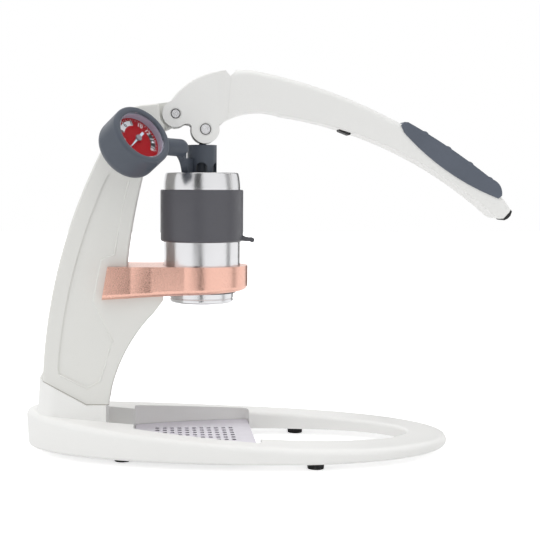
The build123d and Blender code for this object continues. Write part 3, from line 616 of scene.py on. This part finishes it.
@dataclass(frozen=True)
class Wardrobe:
    """Every finish of the machine, and the nodes that each one dresses."""

    base_white: PowderCoat = PowderCoat(
        "base_white", srgb(243, 243, 241), 0.42, mottle=0.02, grain_depth=0.00003,
    )
    # SocketedCoat adds painted shadow of the gap where the post meets its socket.
    post_white: SocketedCoat = SocketedCoat(
        "post_white", srgb(233, 233, 229), 0.44, mottle=0.03, grain_depth=0.00004,
    )
    lever_white: PowderCoat = PowderCoat(
        "lever_white", srgb(240, 240, 238), 0.42, mottle=0.03, grain_depth=0.00004,
    )
    copper: SparklingCoat = SparklingCoat(
        "rose_copper", srgb(240, 191, 174), 0.27, metallic=1.0, grain_scale=1900.0,
    )
    polished: WorkedMetal = WorkedMetal(
        "polished_steel", srgb(226, 226, 228), 0.16, metallic=1.0, mottle=0.02,
        grain_depth=0.000006, rub=0.03, lay=Lay.ROUND_UPRIGHT,
    )
    # edge sets where the painted shade of the gap round each pin begins.
    rear_turned: WorkedMetal = WorkedMetal(
        "rear_pin_steel", srgb(222, 222, 224), 0.18, metallic=1.0, grain_depth=0.00004, rub=0.04,
        lay=Lay.ROUND_PIVOT, centre=REAR_PIVOT, marks=2600.0, edge=0.0031,
    )
    front_turned: WorkedMetal = WorkedMetal(
        "front_pin_steel", srgb(222, 222, 224), 0.18, metallic=1.0, grain_depth=0.00004, rub=0.04,
        lay=Lay.ROUND_PIVOT, centre=FRONT_PIVOT, marks=2600.0, edge=0.0036,
    )
    basket_steel: WorkedMetal = WorkedMetal(
        "basket_steel", srgb(206, 206, 208), 0.28, metallic=1.0, grain_depth=0.00001,
        lay=Lay.ROUND_UPRIGHT,
    )
    sheet_steel: WorkedMetal = WorkedMetal(
        "sheet_steel", srgb(236, 233, 240), 0.38, metallic=1.0, mottle=0.05, grain_depth=0.00001,
        lay=Lay.ALONG,
    )
    screw_steel: WorkedMetal = WorkedMetal(
        "screw_steel", srgb(150, 150, 153), 0.35, metallic=1.0, mottle=0.08, grain_depth=0.00002,
    )
    bronze: WorkedMetal = WorkedMetal(
        "sintered_bronze", srgb(196, 160, 104), 0.38, metallic=1.0, mottle=0.1,
        grain_depth=0.00003,
    )
    black_rubber: Finish = Finish(
        "black_rubber", srgb(26, 26, 28), 0.62, mottle=0.12, grain_depth=0.00005,
        grain_scale=1600.0,
    )
    silicone: Finish = Finish(
        "grey_silicone", srgb(84, 84, 90), 0.40, mottle=0.05, grain_depth=0.00002,
        grain_scale=700.0, rub=0.08,
    )
    grip_rubber: Finish = Finish(
        "grip_rubber", srgb(88, 95, 107), 0.48, mottle=0.06, grain_depth=0.00006,
        grain_scale=2300.0, rub=0.07,
    )
    slate: Finish = Finish(
        "slate_nylon", srgb(76, 83, 94), 0.42, mottle=0.05, grain_depth=0.00003,
        grain_scale=1800.0,
    )
    piston_grey: Finish = Finish("piston_grey", srgb(92, 95, 100), 0.5, grain_depth=0.00003)
    foot_black: Finish = Finish(
        "press_foot_black", srgb(38, 38, 42), 0.42, mottle=0.08, grain_depth=0.00003,
    )
    dial_red: Finish = Finish(
        "dial_red", srgb(168, 5, 20), 0.6, specular=0.08, mottle=0.05, mottle_scale=160.0,
        grain_depth=0.00001, grain_scale=2600.0,
    )
    lilac: Finish = Finish("lilac_ring", srgb(176, 172, 190), 0.3, coat=0.4, grain_depth=0.00001)
    pointer_pale: Finish = Finish("pointer_pale", srgb(214, 228, 240), 0.4, grain_depth=0.00001)
    hub_grey: Finish = Finish("hub_grey", srgb(138, 138, 144), 0.4, metallic=0.4)
    glass: ClearGlass = ClearGlass("gauge_glass")

    def worn_by(self) -> dict[Finish | ClearGlass, tuple[str, ...]]:
        """Lists the CAD nodes that each finish dresses.

        Returns:
            The nodes' names by finish.
        """
        return {
            self.base_white: ("base",),
            self.post_white: ("post",),
            self.lever_white: ("lever",),
            self.copper: ("yoke",),
            self.polished: ("brew_cylinder", "portafilter"),
            self.rear_turned: ("rear_pin",),
            self.front_turned: ("front_pin",),
            self.basket_steel: ("filter_basket", "dispersion_screen", "plunger_rod"),
            self.sheet_steel: ("drip_tray", "drip_grate"),
            self.screw_steel: ("foot_screws", "post_bolts", "yoke_screws"),
            self.bronze: ("pivot_bushes", "foot_bush", "gauge_movement", "gauge_connector"),
            self.black_rubber: (
                "feet", "under_bumper", "tip_bumper", "group_gasket", "seat_gasket", "piston_seals",
            ),
            self.silicone: ("grip_sleeve",),
            self.grip_rubber: ("handle_grip",),
            self.slate: ("stem", "gauge_case"),
            self.piston_grey: ("piston",),
            self.foot_black: ("press_foot",),
            self.dial_red: ("gauge_dial",),
            self.lilac: ("gauge_inner_ring",),
            self.pointer_pale: ("gauge_pointer",),
            self.hub_grey: ("pointer_hub",),
            self.glass: ("gauge_glass",),
        }

    def dress(self) -> None:
        """Assigns every node's finish, with one material for each finish."""
        for finish, nodes in self.worn_by().items():
            material = finish.material()
            for node in nodes:
                mesh = frame["nodes"][node].data
                mesh.materials.clear()
                mesh.materials.append(material)
                log.info("dressed %s in %s", node, finish.name)


def clear_selection() -> None:
    """Leaves edit mode and deselects everything."""
    if bpy.context.object and bpy.context.object.mode != "OBJECT":
        bpy.ops.object.mode_set(mode="OBJECT")
    bpy.ops.object.select_all(action="DESELECT")


def new_plane(size: float = 1.0) -> bpy.types.Object:
    """Adds a square on the table plane, alone selected, for a piece to be shaped from.

    Args:
        size: Length of its sides.

    Returns:
        The square, in object mode.
    """
    clear_selection()
    bpy.ops.mesh.primitive_plane_add(size=size, location=(0, 0, 0))
    return bpy.context.object


def select_in_edit_mode() -> None:
    """Opens the active piece in edit mode with all of it selected."""
    bpy.ops.object.mode_set(mode="EDIT")
    bpy.ops.mesh.select_all(action="SELECT")


def settle(piece: bpy.types.Object, name: str, place: Matrix) -> None:
    """Names a finished mesh and puts its place into its vertices, with the object at the origin.

    Args:
        piece: The mesh object.
        name: Its new name.
        place: Where it goes in the machine's frame.
    """
    clear_selection()
    piece.data.transform(place @ piece.matrix_world)
    piece.matrix_world = Matrix.Identity(4)
    piece.name = name
    piece.data.name = name
    log.info("made %s with %d faces", name, len(piece.data.polygons))


@dataclass
class SmoothSkins:
    """Smooth copies of castings, moulded pieces and turned parts, without their CAD meshes' facets."""

    merge_distance: float = 0.000002
    crease: float = 33.0
    flat_angle: float = 0.5
    edge_angle: float = 50.0
    edge_segments: int = 2
    rounded: dict[str, float] = field(
        default_factory=lambda: {"post": 0.0008, "yoke": 0.0007, "lever": 0.0005}
    )
    nodes: tuple[str, ...] = (
        "base", "post", "lever", "yoke", "brew_cylinder", "portafilter", "grip_sleeve",
        "handle_grip", "stem", "gauge_case", "gauge_inner_ring", "gauge_connector",
        "group_gasket", "press_foot", "rear_pin", "front_pin", "feet", "tip_bumper",
        "under_bumper",
    )

    def skin(self, node: str) -> None:
        """Copies a node's mesh, merges its loose triangles and smooths all but its real edges.

        Args:
            node: Name of the CAD node, which the copy replaces.
        """
        clear_selection()
        source = frame["nodes"][node]
        piece = bpy.data.objects.new(f"{node}_skin", source.data.copy())
        piece.data.name = piece.name
        bpy.context.scene.collection.objects.link(piece)
        bpy.context.view_layer.objects.active = piece
        piece.select_set(True)
        bpy.ops.mesh.customdata_custom_splitnormals_clear()
        select_in_edit_mode()
        bpy.ops.mesh.remove_doubles(threshold=self.merge_distance)
        bpy.ops.object.mode_set(mode="OBJECT")
        if node in self.rounded:
            self.round_edges(piece, self.rounded[node])
        bpy.ops.object.shade_smooth_by_angle(angle=math.radians(self.crease))
        bpy.ops.object.modifier_add(type="WEIGHTED_NORMAL")
        piece.modifiers[-1].keep_sharp = True
        bpy.ops.object.modifier_apply(modifier=piece.modifiers[-1].name)
        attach(piece, body_of(source)[0])
        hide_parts(node)
        log.info("smoothed %s with %d faces", node, len(piece.data.polygons))

    def round_edges(self, piece: bpy.types.Object, width: float) -> None:
        """Rounds the real edges of a casting a little, as its paint does.

        Args:
            piece: The merged copy.
            width: Width of the rounding in metres.
        """
        select_in_edit_mode()
        bpy.ops.mesh.dissolve_limited(angle_limit=math.radians(self.flat_angle))
        bpy.ops.object.mode_set(mode="OBJECT")
        bpy.ops.object.modifier_add(type="BEVEL")
        bevel = piece.modifiers[-1]
        bevel.width = width
        bevel.segments = self.edge_segments
        bevel.limit_method = "ANGLE"
        bevel.angle_limit = math.radians(self.edge_angle)
        bpy.ops.object.modifier_apply(modifier=bevel.name)

    def build(self) -> None:
        """Makes every smooth copy."""
        for node in self.nodes:
            self.skin(node)


@dataclass
class PanelBeads:
    """The soft raised lip that frames the panel on each side of the post.

    outline holds its corners, along the machine and up, from the top of the panel's front edge
    down to the rear of its lower edge.
    """

    thickness: float = 0.0009
    thickness_steps: int = 3
    sink: float = 0.0005
    clear_of_post: float = 0.2
    outline: tuple[tuple[float, float], ...] = (
        (-0.1031, 0.2004),
        (-0.1062, 0.1880),
        (-0.1091, 0.1740),
        (-0.1117, 0.1600),
        (-0.1138, 0.1471),
        (-0.1231, 0.1434),
        (-0.1262, 0.1285),
        (-0.1287, 0.1134),
        (-0.1150, 0.0845),
        (-0.1183, 0.0770),
        (-0.1201, 0.0685),
        (-0.1243, 0.0558),
        (-0.1341, 0.0507),
        (-0.1538, 0.0606),
    )

    def on_post(self, post: bpy.types.Object, side: Side) -> list[Vector]:
        """Lays the outline on the post's slanting side.

        Args:
            post: The smooth post.
            side: The side that it lies on.

        Returns:
            The outline's points, sunk a little into the side.
        """
        inwards = Vector((0, -side.value, 0))
        spots = []
        for x, z in self.outline:
            start = Vector((x, side.value * self.clear_of_post, z))
            _, spot, _, _ = post.ray_cast(start, inwards)
            spots.append(Vector((x, spot.y, z)) + inwards * self.sink)
        return spots

    def bead(self, side: Side) -> None:
        """Makes one bead by extruding a point along the outline and rounding the line.

        Args:
            side: The side of the post that it lies on.
        """
        post = bpy.data.objects["post_skin"]
        first, *others = self.on_post(post, side)
        new_plane(self.thickness)
        select_in_edit_mode()
        bpy.ops.mesh.merge(type="CENTER")
        bpy.ops.transform.translate(value=first)
        last = first
        for spot in others:
            bpy.ops.mesh.extrude_region_move(TRANSFORM_OT_translate={"value": spot - last})
            last = spot
        bpy.ops.object.mode_set(mode="OBJECT")
        bpy.ops.object.convert(target="CURVE")
        line = bpy.context.object
        line.data.bevel_depth = self.thickness
        line.data.bevel_resolution = self.thickness_steps
        line.data.use_fill_caps = True
        bpy.ops.object.convert(target="MESH")
        bead = bpy.context.object
        bpy.ops.object.shade_smooth()
        settle(bead, f"post_bead_{side.name.lower()}", Matrix.Identity(4))
        bead.data.materials.clear()
        bead.data.materials.append(post.data.materials[0])
        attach(bead, "frame")

    def build(self) -> None:
        """Makes the bead of each side."""
        for side in Side:
            self.bead(side)


def ink(name: str, colour: Colour) -> Finish:
    """Returns a smooth printing ink of the dial."""
    return Finish(name, colour, 0.5, grain_depth=0.000005)


@dataclass
class Dial:
    """Plain generic markings of the pressure gauge: numbers, ticks and two coloured bands.

    Each piece is shaped flat round the origin, from print_height up, and then set on the face.
    """

    face_lift: float = 0.0004
    print_height: float = 0.00012
    zero_angle: float = 216.0
    sweep: float = 252.0
    top_pressure: int = 16
    number_step: int = 2
    number_radius: float = 0.0127
    number_size: float = 0.0048
    number_weight: float = 0.00006
    number_height: float = 0.000228
    tick_inner: float = 0.0147
    tick_outer: float = 0.0160
    tick_width: float = 0.00034
    half_tick_inner: float = 0.0153
    half_tick_width: float = 0.0002
    band_inner: float = 0.0108
    band_outer: float = 0.0146
    band_steps: int = 40
    pale_band: tuple[float, float] = (4.0, 8.2)
    dark_band: tuple[float, float] = (12.4, 16.0)
    pale_band_ink: Finish = ink("dial_white_ink", srgb(236, 236, 238))
    dark_band_ink: Finish = ink("dial_black_ink", srgb(22, 22, 26))
    pale_ink: Finish = ink("dial_white_print", srgb(236, 236, 238))
    dark_ink: Finish = ink("dial_grey_print", srgb(62, 60, 66))

    def face(self) -> Matrix:
        """Finds the dial's place from its pointer's joint: X to the right and Z out of the face.

        Returns:
            The place, with its origin at the hub.
        """
        pointer = joint("pointer_turn")
        outward = -Vector(pointer["axis"]).normalized()
        right = Vector((-outward.y, outward.x, 0)).normalized()
        up = outward.cross(right)
        low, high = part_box("gauge_dial")
        hub = Vector(pointer["pos_m"])
        depth = ((low + high) / 2 - hub).dot(outward)
        centre = hub + outward * (depth + self.face_lift)
        return Matrix.Translation(centre) @ Matrix((right, up, outward)).transposed().to_4x4()

    def angle(self, pressure: float) -> float:
        """Returns the angle of a pressure on the dial, in radians."""
        return math.radians(self.zero_angle - self.sweep * pressure / self.top_pressure)

    def thicken(self) -> None:
        """Gives the flat shape in edit mode the thickness of a print, with its faces outwards."""
        bpy.ops.mesh.select_all(action="SELECT")
        bpy.ops.mesh.extrude_region_move(
            TRANSFORM_OT_translate={"value": (0, 0, self.print_height / 2)}
        )
        bpy.ops.mesh.select_all(action="SELECT")
        bpy.ops.mesh.normals_make_consistent(inside=False)
        bpy.ops.object.mode_set(mode="OBJECT")

    def keep(self, piece: bpy.types.Object, name: str, material: bpy.types.Material) -> None:
        """Inks a piece, settles it on the face and lets it ride with the gauge.

        Args:
            piece: The piece, still in the dial's own plane.
            name: Its name.
            material: Its ink.
        """
        piece.data.materials.clear()
        piece.data.materials.append(material)
        settle(piece, name, self.face())
        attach(piece, "plunger")

    def band(self, name: str, span: tuple[float, float], material: bpy.types.Material) -> None:
        """Makes a printed arc by spinning a short edge round the hub.

        Args:
            name: Name of the piece.
            span: First and last pressure that it covers.
            material: Its ink.
        """
        piece = new_plane()
        first, last = (self.angle(pressure) for pressure in span)
        bpy.ops.object.mode_set(mode="EDIT")
        shape = bmesh.from_edit_mesh(piece.data)
        shape.verts.ensure_lookup_table()
        bmesh.ops.delete(shape, geom=shape.verts[2:], context="VERTS")
        for vertex, radius in zip(shape.verts, (self.band_inner, self.band_outer)):
            vertex.co = (radius * math.cos(first), radius * math.sin(first), self.print_height)
        bmesh.update_edit_mesh(piece.data)
        bpy.ops.mesh.select_all(action="SELECT")
        bpy.ops.mesh.spin(
            steps=self.band_steps, angle=first - last, center=(0, 0, 0), axis=(0, 0, 1)
        )
        self.thicken()
        self.keep(piece, name, material)

    def tick(self, inner: float, width: float) -> bpy.types.Object:
        """Models a tick that points along X and ends at the scale's outer edge.

        Args:
            inner: Radius where it begins.
            width: Its width.

        Returns:
            The tick, which is only copied.
        """
        length = self.tick_outer - inner
        piece = new_plane()
        select_in_edit_mode()
        bpy.ops.transform.resize(value=(length, width, 1))
        bpy.ops.transform.translate(value=(inner + length / 2, 0, self.print_height))
        self.thicken()
        return piece

    def ticks(self, material: bpy.types.Material) -> None:
        """Copies a long and a short tick in turn round the scale and joins the copies.

        Args:
            material: Ink of the ticks.
        """
        models = (
            self.tick(self.tick_inner, self.tick_width),
            self.tick(self.half_tick_inner, self.half_tick_width),
        )
        marks = []
        for step in range(2 * self.top_pressure + 1):
            mark = models[step % 2].copy()
            mark.data = mark.data.copy()
            bpy.context.scene.collection.objects.link(mark)
            mark.data.transform(Matrix.Rotation(self.angle(step / 2), 4, "Z"))
            marks.append(mark)
        for model in models:
            bpy.data.objects.remove(model)
        clear_selection()
        for mark in marks:
            mark.select_set(True)
        bpy.context.view_layer.objects.active = marks[0]
        bpy.ops.object.join()
        self.keep(marks[0], "dial_ticks", material)

    def number(self, value: int, material: bpy.types.Material) -> None:
        """Makes one plain number of the scale.

        Args:
            value: Pressure that it stands for.
            material: Its ink.
        """
        clear_selection()
        bpy.ops.object.text_add(location=(0, 0, 0))
        text = bpy.context.object.data
        text.body = str(value)
        text.size = self.number_size
        text.align_x = "CENTER"
        text.align_y = "CENTER"
        text.extrude = self.print_height / 4
        text.offset = self.number_weight
        bpy.ops.object.convert(target="MESH")
        piece = bpy.context.object
        angle = self.angle(value)
        place = Vector((math.cos(angle), math.sin(angle), 0)) * self.number_radius
        place.z = self.number_height
        turn = Matrix.Rotation(angle - math.pi / 2, 4, "Z")
        piece.data.transform(Matrix.Translation(place) @ turn)
        self.keep(piece, f"dial_number_{value}", material)

    def build(self) -> None:
        """Makes the bands, ticks and numbers."""
        self.band("dial_pale_band", self.pale_band, self.pale_band_ink.material())
        self.band("dial_dark_band", self.dark_band, self.dark_band_ink.material())
        pale = self.pale_ink.material()
        dark = self.dark_ink.material()
        self.ticks(pale)
        for value in range(0, self.top_pressure + 1, self.number_step):
            on_pale = self.pale_band[0] <= value <= self.pale_band[1]
            self.number(value, dark if on_pale else pale)


@dataclass(frozen=True)
class Camera:
    """The camera at the photograph's point of view, with its turns in radians."""

    place: Point = (-0.08638, -0.863942, 0.197561)
    yaw: float = 0.04032
    pitch: float = 0.07516
    roll: float = 0.00299
    lens: float = 78.084
    sensor: float = 36.0
    shift_x: float = 0.13
    shift_y: float = 0.00559
    nearest: float = 0.01

    def turned(self) -> Matrix:
        """Works out how the camera is turned.

        Returns:
            The turn, with X to the right, Y up and Z backwards.
        """
        forward = Vector(
            (
                math.sin(self.yaw) * math.cos(self.pitch),
                math.cos(self.yaw) * math.cos(self.pitch),
                -math.sin(self.pitch),
            )
        )
        right = Vector((math.cos(self.yaw), -math.sin(self.yaw), 0))
        up = right.cross(forward)
        turned_right = right * math.cos(self.roll) + up * math.sin(self.roll)
        turned_up = up * math.cos(self.roll) - right * math.sin(self.roll)
        return Matrix((turned_right, turned_up, -forward)).transposed().to_4x4()

    def aim(self) -> None:
        """Makes the camera and looks through it."""
        data = bpy.data.cameras.new("camera")
        data.lens = self.lens
        data.sensor_width = self.sensor
        data.shift_x = self.shift_x
        data.shift_y = self.shift_y
        data.clip_start = self.nearest
        camera = bpy.data.objects.new("camera", data)
        bpy.context.scene.collection.objects.link(camera)
        camera.matrix_world = Matrix.Translation(self.place) @ self.turned()
        bpy.context.scene.camera = camera


@dataclass(frozen=True)
class Sky:
    """Plain light from all round, seen brighter than it is behind the machine and in its metal."""

    light: float = 0.42
    seen: float = 1.0

    def glow(self, bench: Bench, strength: float) -> Socket:
        """Gives a white background.

        Args:
            bench: The world's nodes.
            strength: Its brightness.

        Returns:
            The shader socket.
        """
        node = bench.add("Background")
        node.inputs["Color"].default_value = FULL_WHITE
        node.inputs["Strength"].default_value = strength
        return node.outputs[0]

    def hang(self) -> None:
        """Makes the sky the scene's world."""
        world = bpy.data.worlds.new("studio_sky")
        bpy.context.scene.world = world
        bench = Bench(world, "OutputWorld")
        path = bench.add("LightPath").outputs
        looked_at = bench.pick(Pick.LARGER, path["Is Camera Ray"], path["Is Glossy Ray"])
        shown = bench.pick(Pick.LARGER, looked_at, path["Is Transmission Ray"])
        bench.show(bench.layer(shown, self.glow(bench, self.light), self.glow(bench, self.seen)))


@dataclass(frozen=True)
class Floor:
    """A pale floor that keeps the machine's shadow."""

    size: float = 8.0
    roughness: float = 0.9
    specular: float = 0.1
    unevenness: Pattern = Pattern(3.0)
    darkest: Colour = (0.93, 0.93, 0.93)
    lightest: Colour = (0.95, 0.95, 0.95)
    seen_glow: float = 0.7
    mirrored_glow: float = 0.12

    def lay(self) -> None:
        """Lays the floor under the machine."""
        floor = new_plane(self.size)
        floor.name = "studio_floor"
        material = bpy.data.materials.new("studio_floor")
        bench = Bench(material)
        shader = bench.add("BsdfPrincipled")
        shader.inputs["Roughness"].default_value = self.roughness
        shader.inputs["Specular IOR Level"].default_value = self.specular
        pale = bench.blend(bench.levels(self.unevenness), self.darkest, self.lightest)
        bench.join(pale, shader.inputs["Base Color"])
        path = bench.add("LightPath").outputs
        seen = bench.add("Math", operation="MULTIPLY")
        bench.join(path["Is Camera Ray"], seen.inputs[0])
        seen.inputs[1].default_value = self.seen_glow
        glow = bench.sum(seen.outputs[0], path["Is Glossy Ray"], self.mirrored_glow)
        shader.inputs["Emission Color"].default_value = FULL_WHITE
        bench.join(glow, shader.inputs["Emission Strength"])
        bench.show(shader.outputs[0])
        floor.data.materials.append(material)


@dataclass(frozen=True)
class Lamp:
    """A broad soft light from far away, which the metal does not show.

    towards is its direction from the machine, and spread how wide it looks from there in degrees.
    """

    name: str
    towards: Point
    spread: float
    power: float

    def hang(self) -> None:
        """Adds the light."""
        data = bpy.data.lights.new(self.name, "SUN")
        data.angle = math.radians(self.spread)
        data.energy = self.power
        lamp = bpy.data.objects.new(self.name, data)
        bpy.context.scene.collection.objects.link(lamp)
        lamp.visible_glossy = False
        lamp.matrix_world = Vector(self.towards).to_track_quat("Z", "Y").to_matrix().to_4x4()


@dataclass(frozen=True)
class Card:
    """A grey card stood round the brew head, which only the machine's metal shows.

    bearing counts in degrees from the side of the camera, positive to the right, and width in
    degrees as seen from the brew head. low and high are its edges, and reach its distance.
    """

    name: str
    bearing: float
    width: float
    level: float
    low: float = -0.25
    high: float = 1.75
    reach: float = 0.8

    def stand(self) -> None:
        """Stands the card up."""
        angle = math.radians(self.bearing)
        away = Vector((math.sin(angle), -math.cos(angle), 0)) * self.reach
        card = new_plane()
        card.name = self.name
        card.scale = (2 * self.reach * math.tan(math.radians(self.width / 2)), self.high - self.low, 1)
        card.rotation_euler = (math.pi / 2, 0, angle)
        card.location = Vector(BREW_AXIS) + away + Vector((0, 0, (self.low + self.high) / 2))
        material = bpy.data.materials.new(self.name)
        bench = Bench(material)
        glow = bench.add("Emission")
        glow.inputs["Color"].default_value = (self.level, self.level, self.level, 1.0)
        bench.show(glow.outputs[0])
        card.data.materials.append(material)
        card.visible_camera = False
        card.visible_diffuse = False
        card.visible_shadow = False
        card.visible_transmission = False


@dataclass(frozen=True)
class Studio:
    """The camera, the sky, the floor, three lamps and a few grey cards for the metal."""

    camera: Camera = Camera()
    sky: Sky = Sky()
    floor: Floor = Floor()
    lamps: tuple[Lamp, ...] = (
        Lamp("lamp_top", towards=(0.05, -0.05, 1.0), spread=70.0, power=1.75),
        Lamp("lamp_front_left", towards=(-1.0, -0.6, 0.45), spread=40.0, power=0.5),
        Lamp("lamp_front", towards=(0.35, -1.0, 0.8), spread=50.0, power=0.16),
    )
    cards: tuple[Card, ...] = (
        Card("card_front", bearing=-14.5, width=23.0, level=0.02, low=0.108),
        Card("card_low", bearing=-3.0, width=11.0, level=0.0, low=-0.1, high=0.128, reach=0.34),
        Card("card_left", bearing=-110.0, width=12.0, level=0.3, low=0.14),
        Card("card_right", bearing=84.0, width=14.0, level=0.35),
        Card("card_rear", bearing=150.0, width=24.0, level=0.1),
    )

    def build(self) -> None:
        """Sets up the whole studio."""
        self.camera.aim()
        self.sky.hang()
        self.floor.lay()
        for lamp in self.lamps:
            lamp.hang()
        for card in self.cards:
            card.stand()
        bpy.context.scene.view_settings.view_transform = "Standard"
        log.info("set up the studio with %d lamps and %d cards", len(self.lamps), len(self.cards))


def main() -> None:
    """Builds everything in order and reports it."""
    logging.basicConfig(level=logging.INFO, format="%(message)s")
    Studio().build()
    Wardrobe().dress()
    SmoothSkins().build()
    PanelBeads().build()
    Dial().build()


if __name__ == "__main__":
    main()
